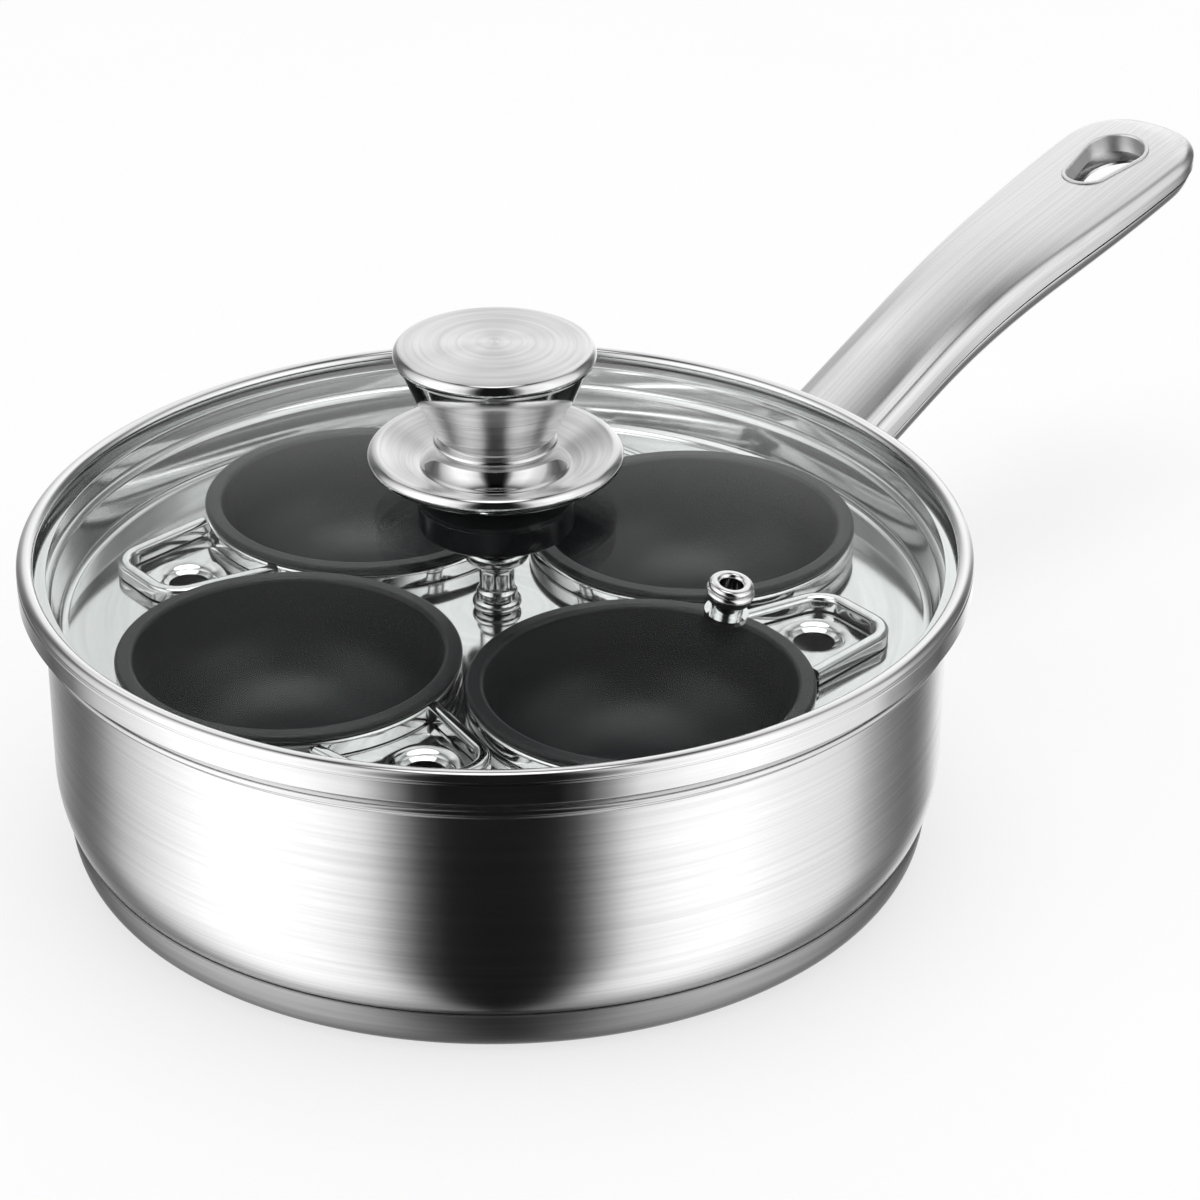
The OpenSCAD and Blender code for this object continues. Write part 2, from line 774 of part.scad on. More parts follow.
// The knob's foot: a dished saucer with a thick round edge and a flared skirt up to the waist
module knob_base() {
    foot_r = waist_r + skirt_flare;
    skirt_h = waist_z - skirt_z - 2.4;
    color(bright_steel)
    rotate_extrude()
    polygon(concat(
        [[screw_r + 0.05, saucer_z], [washer_r - 1, saucer_z], [washer_r + 0.5, saucer_z + 0.5]],
        arc([saucer_r - saucer_edge, saucer_rim_z - saucer_edge], saucer_edge, saucer_edge, -70, 110, 14),
        [[foot_r + 0.5, skirt_z + 0.2], [foot_r + 0.1, skirt_z + 0.3]],
        [
            for (j = [0 : 8])
                let (u = j / 8)
                    [foot_r - (foot_r - waist_r) * (1 - (1 - u) * (1 - u)) - 0.1, skirt_z + 0.6 + skirt_h * u]
        ],
        arc([waist_r - 0.2, waist_z - 0.8], 0.6, 0.8, -60, 90, 6),
        [[screw_r + 0.05, waist_z]]
    ));
}

// The knob's tapered grip in two sections with a fine step, on a recessed neck
module knob_grip() {
    top_r = cap_r - 1.2;
    step_z = grip_z + grip_h * 0.52;
    step_r = waist_r + (top_r - waist_r) * 0.52;
    color(steel)
    rotate_extrude()
    polygon(concat(
        [[0, waist_z + 6], [screw_r + 0.05, waist_z + 6], [screw_r + 0.05, waist_z]],
        [[waist_r - 1.1, waist_z], [waist_r - 1.1, grip_z], [waist_r - 0.3, grip_z]],
        [[waist_r + 0.1, grip_z + 0.35], [step_r, step_z], [step_r + 0.35, step_z + 0.3]],
        [[top_r, cap_z], [0, cap_z]]
    ));
}

// The knob's cap: a round-edged disc with a gentle crown
module knob_cap() {
    edge_w = 1.6;
    edge_h = (cap_h - cap_crown) / 2;
    color(bright_steel)
    rotate_extrude()
    polygon(concat(
        [[0, cap_z], [cap_r - edge_w + 0.3, cap_z]],
        arc([cap_r - edge_w, cap_z + edge_h], edge_w, edge_h, -60, 80, 10),
        [
            for (j = [0 : 8])
                let (u = 1 - j / 8)
                    [(cap_r - edge_w) * u, knob_top - cap_crown * u * u]
        ]
    ));
}

// The gasket under the glass, seated on the dome's inner face
module inner_gasket() {
    color(black_rubber)
    rotate_extrude()
    polygon(concat(
        [[screw_r + screw_gap, inner_z], [washer_r - 0.4, inner_z]],
        on_dome(dome_r - glass_t - skin_gap, washer_r - 0.4, screw_r + screw_gap)
    ));
}

// The cup washer under the glass that spreads the screw's pull
module inner_washer() {
    low = inner_z - washer_h;
    color([0.2, 0.2, 0.21])
    rotate_extrude()
    polygon(concat(
        [[screw_r + screw_gap, low + 1], [8, low + 1], [8.8, low]],
        arc([washer_r - 1.4, low + 1.4], 1.4, 1.4, -90, 0, 6),
        [[washer_r, inner_z], [screw_r + screw_gap, inner_z]]
    ));
}

// The screw that pulls the knob down on the glass
module knob_screw() {
    under = inner_z - washer_h + 1;
    color(steel)
    rotate_extrude()
    polygon(concat(
        [[0, under - screw_head_h]],
        arc([screw_r + 0.8, under - screw_head_h + 1.4], 1.6, 1.4, -90, 0, 6),
        [[screw_r + 2.4, under], [screw_r, under], [screw_r, waist_z + 5], [0, waist_z + 5]]
    ));
}

pan_body();
base_core();
base_cap();
handle_saddle();
handle_upper_shell();
handle_lower_shell();
hanging_slot_sleeve();
tray_plate();
lifting_post();
post_washer();
post_screw();
egg_cup(0);  // egg_cup_1
egg_cup(1);  // egg_cup_2
egg_cup(2);  // egg_cup_3
egg_cup(3);  // egg_cup_4
cup_ring(0);  // cup_ring_1
cup_ring(1);  // cup_ring_2
cup_ring(2);  // cup_ring_3
cup_ring(3);  // cup_ring_4
lid_band();
lid_glass();
vent_eyelet();
vent_gasket();
vent_washer();
knob_gasket();
knob_base();
knob_grip();
knob_cap();
inner_gasket();
inner_washer();
knob_screw();
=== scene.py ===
import math

import bmesh
import bpy
from mathutils import Matrix, Vector


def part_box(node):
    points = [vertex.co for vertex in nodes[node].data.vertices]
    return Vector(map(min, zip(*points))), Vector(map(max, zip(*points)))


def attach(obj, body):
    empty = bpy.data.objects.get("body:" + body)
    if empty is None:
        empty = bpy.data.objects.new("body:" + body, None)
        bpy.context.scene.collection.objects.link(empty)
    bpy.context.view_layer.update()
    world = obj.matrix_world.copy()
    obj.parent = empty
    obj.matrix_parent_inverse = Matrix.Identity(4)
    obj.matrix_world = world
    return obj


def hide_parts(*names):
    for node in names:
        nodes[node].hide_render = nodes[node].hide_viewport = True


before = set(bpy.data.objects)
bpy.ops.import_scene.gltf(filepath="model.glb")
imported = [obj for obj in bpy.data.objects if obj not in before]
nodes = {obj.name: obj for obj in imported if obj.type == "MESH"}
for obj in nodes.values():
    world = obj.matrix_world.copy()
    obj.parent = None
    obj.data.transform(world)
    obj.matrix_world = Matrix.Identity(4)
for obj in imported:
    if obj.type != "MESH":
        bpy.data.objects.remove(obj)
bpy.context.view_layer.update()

# Driving sizes. Lengths are in metres, written as millimetres times MM. The imported solids give the rest.
MM = 0.001
ROUND_STEPS = 256
CUPS = (1, 2, 3, 4)
CUP_ANGLES = (-14, 76, 166, 256)
STEAM_TURN = 43.5

# Pan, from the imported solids
bead_out = 1.5 * MM
wall_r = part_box("pan_body")[1].y - bead_out
rim_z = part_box("pan_body")[1].z
floor_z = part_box("pan_body")[0].z
wall_t = 1 * MM
bead_r = 1.2 * MM
corner_w = 8.8 * MM
corner_h = 17.6 * MM
seam_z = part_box("base_cap")[1].z
cap_edge_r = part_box("base_cap")[1].y
base_draft = 4.9 * MM

# Tray and cups
tray_t = 0.8 * MM
flange_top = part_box("tray_plate")[1].z
flange_z = flange_top - tray_t
tray_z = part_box("egg_cup_1")[1].z - 5.8 * MM
tray_wall_r = wall_r - wall_t - 0.4 * MM
tray_flat_r = tray_wall_r - tray_t - 2.5 * MM
flange_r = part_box("tray_plate")[1].y - 0.75 * MM
steam_r = 4.6 * MM
steam_dish_w = 4.4 * MM
steam_pitch = tray_flat_r - 24 * MM
lip_r = (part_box("egg_cup_1")[1].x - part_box("egg_cup_1")[0].x) / 2
lip_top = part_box("egg_cup_1")[1].z
cup_base_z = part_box("egg_cup_1")[0].z
cup_pitch = tray_flat_r - 3.9 * MM - lip_r
bowl_r = lip_r - 3.8 * MM
cup_wall = 1.6 * MM
bowl_out_r = bowl_r + cup_wall / 2
ring_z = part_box("cup_ring_1")[0].z
ring_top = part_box("cup_ring_1")[1].z
ring_h = ring_top - ring_z
loop_bar = 3.2 * MM
loop_reach = 13 * MM
loop_shift = 1.6 * MM
loop_bend = 7 * MM
STEAM_AT = (steam_pitch * math.cos(math.radians(STEAM_TURN)) - cup_pitch,
            steam_pitch * math.sin(math.radians(STEAM_TURN)))
loop_aim = math.atan2(STEAM_AT[1], STEAM_AT[0])
next_cup_side = cup_pitch * (math.sin(loop_aim) + math.cos(loop_aim))
loop_end_w = next_cup_side - (lip_r - 0.1 * MM) - 2.3 * MM + loop_shift - loop_bar / 2
loop_root_w = loop_end_w + 3 * MM

# Lid and knob
band_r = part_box("lid_band")[1].y
lid_foot_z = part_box("lid_band")[0].z
lid_top_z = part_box("lid_band")[1].z
roll_h = 1.6 * MM
roll_w = 3.6 * MM
roll_z = lid_top_z - roll_h
band_z = roll_z - 5.4 * MM
ledge_z = band_z + 0.4 * MM
band_t = 1 * MM
ledge_r = wall_r - wall_t - 0.2 * MM
glass_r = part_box("lid_glass")[1].y
glass_t = 4 * MM
dome_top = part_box("lid_glass")[1].z
dome_rise = dome_top - roll_z
dome_edge_r = band_r - roll_w
dome_r = (dome_edge_r ** 2 + dome_rise ** 2) / (2 * dome_rise)
dome_c = dome_top - dome_r
vent_r = 66 * MM
vent_angle = math.radians(-90.5)
vent_bore_r = 2.4 * MM
saucer_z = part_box("knob_base")[0].z
saucer_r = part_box("knob_base")[1].y
waist_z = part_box("knob_base")[1].z
waist_r = 13.3 * MM
skirt_z = saucer_z + 3.9 * MM
saucer_rim_z = skirt_z + 4.2 * MM
grip_z = waist_z + 1.3 * MM
cap_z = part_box("knob_cap")[0].z
knob_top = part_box("knob_cap")[1].z
cap_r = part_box("knob_cap")[1].y
washer_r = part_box("inner_washer")[1].y
washer_low, washer_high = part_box("inner_washer")[0].z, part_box("inner_washer")[1].z
screw_r = 2.5 * MM

# Handle
handle_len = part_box("handle_upper_shell")[1].x - wall_r
handle_root_z = 48.4 * MM
root_slope, tip_slope = 0.39, 0.178
bend_from, bend_to = wall_r + 40 * MM, wall_r + 110 * MM
flare_from, flare_to = wall_r + 50 * MM, wall_r + 145 * MM
root_half_w, tip_half_w = 12.5 * MM, 16.8 * MM
tip_round = 17.8 * MM
crown_h = 1.5 * MM
shell_seam = 6.2 * MM
handle_depth = 14.7 * MM
shell_t = 1 * MM
side_w = 1.8 * MM
handle_taper = 0.17
tip_square = 0.8
handle_reach = 164 * MM
tip_centre = wall_r + handle_len - side_w - tip_round
slot_s = wall_r + handle_reach - 24 * MM
slot_near_r, slot_far_r, slot_span = 6 * MM, 8.4 * MM, 13.5 * MM
slot_rim_h = 3.4 * MM
seam_groove = 1.05 * MM
slot_relief = 3 * MM


# Profiles: lists of (radius, height) points, turned round an axis by lathe()

def arc(centre, radii, start, end, steps):
    """Points on an ellipse about centre, from the angle start to end in degrees."""
    points = []
    for i in range(steps + 1):
        t = math.radians(start + (end - start) * i / steps)
        points.append((centre[0] + radii[0] * math.cos(t), centre[1] + radii[1] * math.sin(t)))
    return points


def soften(points, reach, sharp=25, steps=4):
    """Rounds the corners of a closed profile that turn by more than sharp degrees."""
    out = []
    count = len(points)
    for i, corner in enumerate(points):
        here = Vector(corner)
        back = Vector(points[i - 1]) - here
        ahead = Vector(points[(i + 1) % count]) - here
        if corner[0] < 0.05 * MM or back.length < 1e-7 or ahead.length < 1e-7:
            out.append(corner)
            continue
        turn = 180 - math.degrees(back.angle(ahead))
        if turn < sharp:
            out.append(corner)
            continue
        cut = min(reach, back.length * 0.45, ahead.length * 0.45)
        a = here + back.normalized() * cut
        b = here + ahead.normalized() * cut
        for j in range(steps + 1):
            t = j / steps
            p = a * (1 - t) ** 2 + here * (2 * t * (1 - t)) + b * t ** 2
            out.append((p.x, p.y))
    return out


def profile_normals(points, crease):
    """For each stretch of a closed profile, the normals at its start and end, blended where it is smooth."""
    count = len(points)
    stretch = []
    for i in range(count):
        d = Vector(points[(i + 1) % count]) - Vector(points[i])
        n = Vector((d.y, -d.x))
        stretch.append((n.normalized() if d.length > 1e-9 else Vector((0, 0)), d.length))
    out = []
    for i in range(count):
        n, size = stretch[i]
        pair = []
        for other in (stretch[i - 1], stretch[(i + 1) % count]):
            smooth = n.length > 0 and other[0].length > 0 and n.angle(other[0]) < crease
            blended = n * size + other[0] * other[1] if smooth else n
            pair.append(blended.normalized() if blended.length > 0 else n)
        out.append(pair)
    return out


def turned_round(points):
    """The same closed profile, run so that its outside lies on the right."""
    area = 0
    for (x0, y0), (x1, y1) in zip(points, points[1:] + points[:1]):
        area += x0 * y1 - x1 * y0
    return points if area > 0 else points[::-1]


def lathe(name, profile, place=Matrix.Identity(4), steps=ROUND_STEPS, crease=math.radians(40)):
    """Turns a closed profile about the Z axis of place, with smooth normals from the profile itself."""
    points = turned_round(profile)
    normals = profile_normals(points, crease)
    verts = []
    first = []
    for r, z in points:
        first.append(len(verts))
        if r < 1e-6:
            verts.append(place @ Vector((0, 0, z)))
            continue
        for k in range(steps):
            t = 2 * math.pi * k / steps
            verts.append(place @ Vector((r * math.cos(t), r * math.sin(t), z)))
    turn = place.to_3x3()
    faces, loops = [], []
    count = len(points)
    for i in range(count):
        j = (i + 1) % count
        on_axis, next_on_axis = points[i][0] < 1e-6, points[j][0] < 1e-6
        if on_axis and next_on_axis:
            continue
        for k in range(steps):
            m = (k + 1) % steps
            corners = []
            if on_axis:
                corners = [(first[i], k, 0), (first[j] + m, m, 1), (first[j] + k, k, 1)]
            elif next_on_axis:
                corners = [(first[i] + k, k, 0), (first[i] + m, m, 0), (first[j], k, 1)]
            else:
                corners = [(first[i] + k, k, 0), (first[i] + m, m, 0),
                           (first[j] + m, m, 1), (first[j] + k, k, 1)]
            faces.append([c[0] for c in corners])
            for _, step, end in corners:
                n = normals[i][end]
                t = 2 * math.pi * step / steps
                loops.append(turn @ Vector((n.x * math.cos(t), n.x * math.sin(t), n.y)))
    mesh = bpy.data.meshes.new(name)
    mesh.from_pydata(verts, [], faces)
    mesh.polygons.foreach_set("use_smooth", [True] * len(faces))
    mesh.normals_split_custom_set(loops)
    return link(name, mesh)


def link(name, mesh):
    """A new object for the mesh, in the scene."""
    obj = bpy.data.objects.new(name, mesh)
    bpy.context.scene.collection.objects.link(obj)
    return obj


def smooth_by_angle(obj, degrees=32):
    """Smooth shading with sharp edges where faces meet at more than the angle, and flat faces kept flat."""
    obj.data.polygons.foreach_set("use_smooth", [True] * len(obj.data.polygons))
    obj.data.set_sharp_from_angle(angle=math.radians(degrees))
    weigh = obj.modifiers.new("weigh", "WEIGHTED_NORMAL")
    weigh.keep_sharp = True
    apply_modifiers(obj)


def apply_modifiers(obj):
    """Gives the object its evaluated mesh."""
    graph = bpy.context.evaluated_depsgraph_get()
    mesh = bpy.data.meshes.new_from_object(obj.evaluated_get(graph))
    obj.modifiers.clear()
    obj.data = mesh


def carve(obj, tool, operation="DIFFERENCE"):
    """Applies one boolean to obj and removes the tool."""
    cut = obj.modifiers.new("cut", "BOOLEAN")
    cut.operation = operation
    cut.object = tool
    cut.solver = "EXACT"
    apply_modifiers(obj)
    bpy.data.objects.remove(tool)
    return obj


def prism(name, outline, low, high, place=Matrix.Identity(4)):
    """A straight prism over a closed outline of (x, y) points."""
    count = len(outline)
    verts = [place @ Vector((x, y, z)) for z in (low, high) for x, y in outline]
    faces = [list(range(count))[::-1], list(range(count, 2 * count))]
    for i in range(count):
        j = (i + 1) % count
        faces.append([i, j, count + j, count + i])
    mesh = bpy.data.meshes.new(name)
    mesh.from_pydata(verts, [], faces)
    return link(name, mesh)


def finish_piece(piece, body, slot, material, *replaced):
    """Gives a piece its material and body, and hides the nodes it stands for. The slot is not used."""
    piece.data.materials.clear()
    piece.data.materials.append(material)
    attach(piece, body)
    if replaced:
        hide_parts(*replaced)
    return piece


# Shader groups shared by several finishes

def new_group(name, inputs, outputs):
    """An empty shader group with float or vector sockets."""
    group = bpy.data.node_groups.new(name, "ShaderNodeTree")
    for socket, value in inputs.items():
        made = group.interface.new_socket(name=socket, in_out="INPUT", socket_type="NodeSocketFloat")
        made.default_value = value
    for socket, kind in outputs.items():
        group.interface.new_socket(name=socket, in_out="OUTPUT", socket_type=kind)
    return group, group.nodes.new("NodeGroupInput"), group.nodes.new("NodeGroupOutput")


def math_node(tree, operation, a, b=None):
    """A math node whose inputs are sockets or numbers."""
    node = tree.nodes.new("ShaderNodeMath")
    node.operation = operation
    for socket, value in zip(node.inputs, (a, b)):
        if value is None:
            continue
        if isinstance(value, (int, float)):
            socket.default_value = value
        else:
            tree.links.new(value, socket)
    return node.outputs[0]


def combine(tree, x, y, z):
    """A vector of three sockets."""
    node = tree.nodes.new("ShaderNodeCombineXYZ")
    for socket, value in zip(node.inputs, (x, y, z)):
        tree.links.new(value, socket)
    return node.outputs[0]


def noise_node(tree, vector, scale, detail, rough=0.6):
    """A noise texture's value along a vector."""
    node = tree.nodes.new("ShaderNodeTexNoise")
    node.inputs["Scale"].default_value = scale
    node.inputs["Detail"].default_value = detail
    node.inputs["Roughness"].default_value = rough
    tree.links.new(vector, node.inputs["Vector"])
    return node.outputs["Fac"]


def object_axes(tree):
    """The three object coordinates as sockets."""
    place = tree.nodes.new("ShaderNodeTexCoord")
    split = tree.nodes.new("ShaderNodeSeparateXYZ")
    tree.links.new(place.outputs["Object"], split.inputs[0])
    return split.outputs, place.outputs["Object"]


def spun_grain_group():
    """Fine grooves that run round the Z axis: Fine and Coarse grain, and slow Cloudiness."""
    group, inp, out = new_group(
        "spun grain",
        {"Grooves per metre": 2600.0, "Along": 14.0},
        {"Fine": "NodeSocketFloat", "Coarse": "NodeSocketFloat", "Cloud": "NodeSocketFloat"},
    )
    (x, y, z), place = object_axes(group)
    radius = math_node(group, "SQRT", math_node(
        group, "ADD", math_node(group, "MULTIPLY", x, x), math_node(group, "MULTIPLY", y, y)))
    across = math_node(group, "ADD", radius, z)
    along_x = math_node(group, "MULTIPLY", x, inp.outputs["Along"])
    along_y = math_node(group, "MULTIPLY", y, inp.outputs["Along"])
    fine = combine(group, along_x, along_y, math_node(
        group, "MULTIPLY", across, inp.outputs["Grooves per metre"]))
    coarse = combine(group, along_x, along_y, math_node(
        group, "MULTIPLY", across, math_node(group, "MULTIPLY", inp.outputs["Grooves per metre"], 0.22)))
    group.links.new(noise_node(group, fine, 1.0, 3.0), out.inputs["Fine"])
    group.links.new(noise_node(group, coarse, 1.0, 2.0), out.inputs["Coarse"])
    group.links.new(noise_node(group, place, 26.0, 3.0), out.inputs["Cloud"])
    return group


def long_grain_group():
    """Fine grooves that run along the handle and bend with it, and a mask of the groove under its seam, where
    steel() paints shade.
    """
    group, inp, out = new_group(
        "long grain",
        {"Grooves per metre": 2600.0, "Along": 14.0},
        {"Fine": "NodeSocketFloat", "Coarse": "NodeSocketFloat", "Cloud": "NodeSocketFloat",
         "Seam": "NodeSocketFloat"},
    )
    (x, y, z), place = object_axes(group)
    # The height over the handle's upper face, from the same curve as spine_z()
    bend = bend_to - bend_from
    share = math_node(group, "MULTIPLY", math_node(group, "SUBTRACT", x, bend_from), 1 / bend)
    u = math_node(group, "MINIMUM", math_node(group, "MAXIMUM", share, 0.0), 1.0)
    rounded = math_node(group, "MULTIPLY", math_node(group, "POWER", u, 3.0), math_node(
        group, "SUBTRACT", 1.0, math_node(group, "MULTIPLY", u, 0.5)))
    bent = math_node(group, "ADD", rounded, math_node(
        group, "MAXIMUM", math_node(group, "SUBTRACT", share, 1.0), 0.0))
    face = math_node(group, "ADD", math_node(group, "MULTIPLY", x, root_slope), math_node(
        group, "MULTIPLY", bent, (tip_slope - root_slope) * bend))
    level = math_node(group, "SUBTRACT", math_node(
        group, "SUBTRACT", z, handle_root_z - root_slope * wall_r), face)
    along = math_node(group, "MULTIPLY", x, inp.outputs["Along"])
    grooves = inp.outputs["Grooves per metre"]
    for part, socket in ((1.0, "Fine"), (0.22, "Coarse")):
        step = math_node(group, "MULTIPLY", grooves, part)
        vector = combine(
            group, along, math_node(group, "MULTIPLY", y, step), math_node(group, "MULTIPLY", level, step))
        group.links.new(noise_node(group, vector, 1.0, 3.0), out.inputs[socket])
    group.links.new(noise_node(group, place, 26.0, 3.0), out.inputs["Cloud"])
    depth = group.nodes.new("ShaderNodeMapRange")
    depth.interpolation_type = "SMOOTHSTEP"
    depth.inputs["From Min"].default_value = wall_r + 0.4 * handle_reach
    depth.inputs["From Max"].default_value = wall_r + handle_reach
    depth.inputs["To Min"].default_value = shell_seam
    depth.inputs["To Max"].default_value = shell_seam * (1 - handle_taper)
    group.links.new(x, depth.inputs["Value"])
    # Painted shade mask: 1 in the groove just under the seam, where steel() mixes the colour to near black
    below = math_node(group, "ADD", level, depth.outputs[0])
    seam = math_node(group, "MULTIPLY", math_node(group, "GREATER_THAN", below, -seam_groove), math_node(
        group, "LESS_THAN", below, -0.03 * MM))
    group.links.new(seam, out.inputs["Seam"])
    return group


def coating_group():
    """The cups' coating: Speckle of fine flakes, Orange-peel height and slow Cloud."""
    group, inp, out = new_group(
        "coating speckle",
        {"Flakes per metre": 2400.0},
        {"Speckle": "NodeSocketFloat", "Peel": "NodeSocketFloat", "Cloud": "NodeSocketFloat"},
    )
    place = group.nodes.new("ShaderNodeTexCoord").outputs["Object"]
    scaled = group.nodes.new("ShaderNodeVectorMath")
    scaled.operation = "SCALE"
    group.links.new(place, scaled.inputs[0])
    group.links.new(inp.outputs["Flakes per metre"], scaled.inputs["Scale"])
    flakes = noise_node(group, scaled.outputs[0], 1.0, 1.0, 0.5)
    picked = group.nodes.new("ShaderNodeMapRange")
    picked.inputs["From Min"].default_value = 0.58
    picked.inputs["From Max"].default_value = 0.74
    group.links.new(flakes, picked.inputs["Value"])
    group.links.new(picked.outputs[0], out.inputs["Speckle"])
    group.links.new(noise_node(group, place, 1400.0, 2.0), out.inputs["Peel"])
    group.links.new(noise_node(group, place, 40.0, 3.0), out.inputs["Cloud"])
    return group


SPUN = spun_grain_group()
LONG = long_grain_group()
COATING = coating_group()


# Finishes

def new_material(name, **values):
    """A material with one Principled BSDF and plain values on its sockets."""
    material = bpy.data.materials.new(name)
    material.use_nodes = True
    shader = material.node_tree.nodes["Principled BSDF"]
    for socket, value in values.items():
        shader.inputs[socket.replace("_", " ")].default_value = value
    return material, material.node_tree, shader


def add_group(tree, group, **values):
    """A group node in the tree, with its own values."""
    node = tree.nodes.new("ShaderNodeGroup")
    node.node_tree = group
    for socket, value in values.items():
        node.inputs[socket.replace("_", " ")].default_value = value
    return node


def mixed_colour(tree, factor, dark, light, shader):
    """Base Color as a mix of two tones, by a noise value stretched to its full range."""
    mix = tree.nodes.new("ShaderNodeMix")
    mix.data_type = "RGBA"
    stretched = tree.nodes.new("ShaderNodeMapRange")
    stretched.inputs["From Min"].default_value = 0.32
    stretched.inputs["From Max"].default_value = 0.68
    tree.links.new(factor, stretched.inputs["Value"])
    tree.links.new(stretched.outputs[0], mix.inputs["Factor"])
    mix.inputs[6].default_value = (*dark, 1)
    mix.inputs[7].default_value = (*light, 1)
    tree.links.new(mix.outputs[2], shader.inputs["Base Color"])


def ranged(tree, value, low, high, socket):
    """Maps a 0.3 to 0.7 noise value to the range low to high and links it."""
    node = tree.nodes.new("ShaderNodeMapRange")
    node.inputs["From Min"].default_value = 0.3
    node.inputs["From Max"].default_value = 0.7
    node.inputs["To Min"].default_value = low
    node.inputs["To Max"].default_value = high
    tree.links.new(value, node.inputs["Value"])
    tree.links.new(node.outputs[0], socket)


def bumped(tree, height, distance, shader, strength=1.0):
    """A bump from a height socket."""
    bump = tree.nodes.new("ShaderNodeBump")
    bump.inputs["Strength"].default_value = strength
    bump.inputs["Distance"].default_value = distance
    tree.links.new(height, bump.inputs["Height"])
    tree.links.new(bump.outputs["Normal"], shader.inputs["Normal"])


def steel(name, grain, dark, light, rough, bump, anisotropy=0.0, turn=0.25, axis="Z",
          grooves=2600.0, along=14.0, polished_sides=0.0):
    """Ground steel: two close tones and a roughness that follow the grooves, and a fine bump. With the long
    grain, painted shade darkens the groove under the handle's seam to near black.

    With polished_sides, only the faces that look up keep the grooves, and the sides have that roughness.
    """
    material, tree, shader = new_material(name, Metallic=1.0, Roughness=sum(rough) / 2)
    group = add_group(tree, grain, Grooves_per_metre=grooves, Along=along)
    mixed_colour(tree, group.outputs["Coarse"], dark, light, shader)
    if rough[1] > rough[0]:
        ranged(tree, group.outputs["Cloud"], rough[0], rough[1], shader.inputs["Roughness"])
    if bump > 0:
        bumped(tree, group.outputs["Fine"], bump, shader)
    # Painted shade: the groove under the handle's seam is mixed to near black, for the shade in the gap between
    # the shells
    if "Seam" in group.outputs:
        plain = shader.inputs["Base Color"].links[0].from_socket
        shaded = tree.nodes.new("ShaderNodeMix")
        shaded.data_type = "RGBA"
        tree.links.new(group.outputs["Seam"], shaded.inputs["Factor"])
        tree.links.new(plain, shaded.inputs[6])
        shaded.inputs[7].default_value = (*grey(0.02), 1)
        tree.links.new(shaded.outputs[2], shader.inputs["Base Color"])
    if anisotropy > 0:
        shader.inputs["Anisotropic"].default_value = anisotropy
        shader.inputs["Anisotropic Rotation"].default_value = turn
        tangent = tree.nodes.new("ShaderNodeTangent")
        tangent.direction_type = "RADIAL"
        tangent.axis = axis
        tree.links.new(tangent.outputs[0], shader.inputs["Tangent"])
    if polished_sides > 0:
        up = facing_up(tree)
        for socket, side, top in (("Roughness", polished_sides, rough[1]), ("Anisotropic", 0.0, anisotropy)):
            node = tree.nodes.new("ShaderNodeMapRange")
            node.inputs["To Min"].default_value = side
            node.inputs["To Max"].default_value = top
            tree.links.new(up, node.inputs["Value"])
            tree.links.new(node.outputs[0], shader.inputs[socket])
    return material


def facing_up(tree):
    """A mask that is 1 on faces that look up and 0 on sides."""
    place = tree.nodes.new("ShaderNodeTexCoord")
    split = tree.nodes.new("ShaderNodeSeparateXYZ")
    tree.links.new(place.outputs["Normal"], split.inputs[0])
    mask = tree.nodes.new("ShaderNodeMapRange")
    mask.inputs["From Min"].default_value = 0.86
    mask.inputs["From Max"].default_value = 0.91
    tree.links.new(split.outputs[2], mask.inputs["Value"])
    return mask.outputs[0]


def grey(value, warm=0.0):
    """A near-neutral grey."""
    return (value * (1 + warm), value, value * (1 - warm))


WALL_STEEL = steel("brushed wall steel", SPUN, grey(0.8), grey(0.92), (0.18, 0.22), 0.003 * MM, 0.85,
                   grooves=4200.0, along=9.0)
# The base cap's darker tone is partly its own satin finish and partly painted shade for its side that faces the
# floor
BASE_STEEL = steel("base cap steel", SPUN, grey(0.34), grey(0.44), (0.36, 0.44), 0.004 * MM, 0.5)
RIM_STEEL = steel("polished rim steel", SPUN, grey(0.8), grey(0.88), (0.07, 0.1), 0.0008 * MM)
BAND_STEEL = steel("lid band steel", SPUN, grey(0.8), grey(0.9), (0.06, 0.09), 0.0006 * MM, 0.3)
KNOB_STEEL = steel("spun knob steel", SPUN, grey(0.72), grey(0.92), (0.26, 0.3), 0.0008 * MM, 0.95,
                   grooves=3600.0, along=30.0, polished_sides=0.05)
HANDLE_STEEL = steel("brushed handle steel", LONG, grey(0.76), grey(0.87), (0.2, 0.24), 0.0015 * MM, 0.6,
                     turn=0.0, axis="X", grooves=7000.0, along=7.0)
TRAY_STEEL = steel("tray steel", SPUN, grey(0.72), grey(0.82), (0.07, 0.11), 0.0003 * MM, 0.3,
                   grooves=1500.0)
RING_STEEL = steel("polished ring steel", SPUN, grey(0.78), grey(0.86), (0.05, 0.09), 0.0)
POST_STEEL = steel("turned post steel", SPUN, grey(0.72), grey(0.84), (0.1, 0.16), 0.001 * MM)
SLEEVE_STEEL = steel("satin sleeve steel", SPUN, grey(0.92), grey(0.96), (0.4, 0.5), 0.0)
TRIM_STEEL = steel("bright trim steel", SPUN, grey(0.8), grey(0.9), (0.06, 0.1), 0.0)
SCREW_STEEL = steel("screw steel", SPUN, grey(0.5), grey(0.62), (0.2, 0.3), 0.001 * MM)
CORE_METAL = steel("base core aluminium", SPUN, grey(0.7), grey(0.8), (0.35, 0.45), 0.004 * MM)


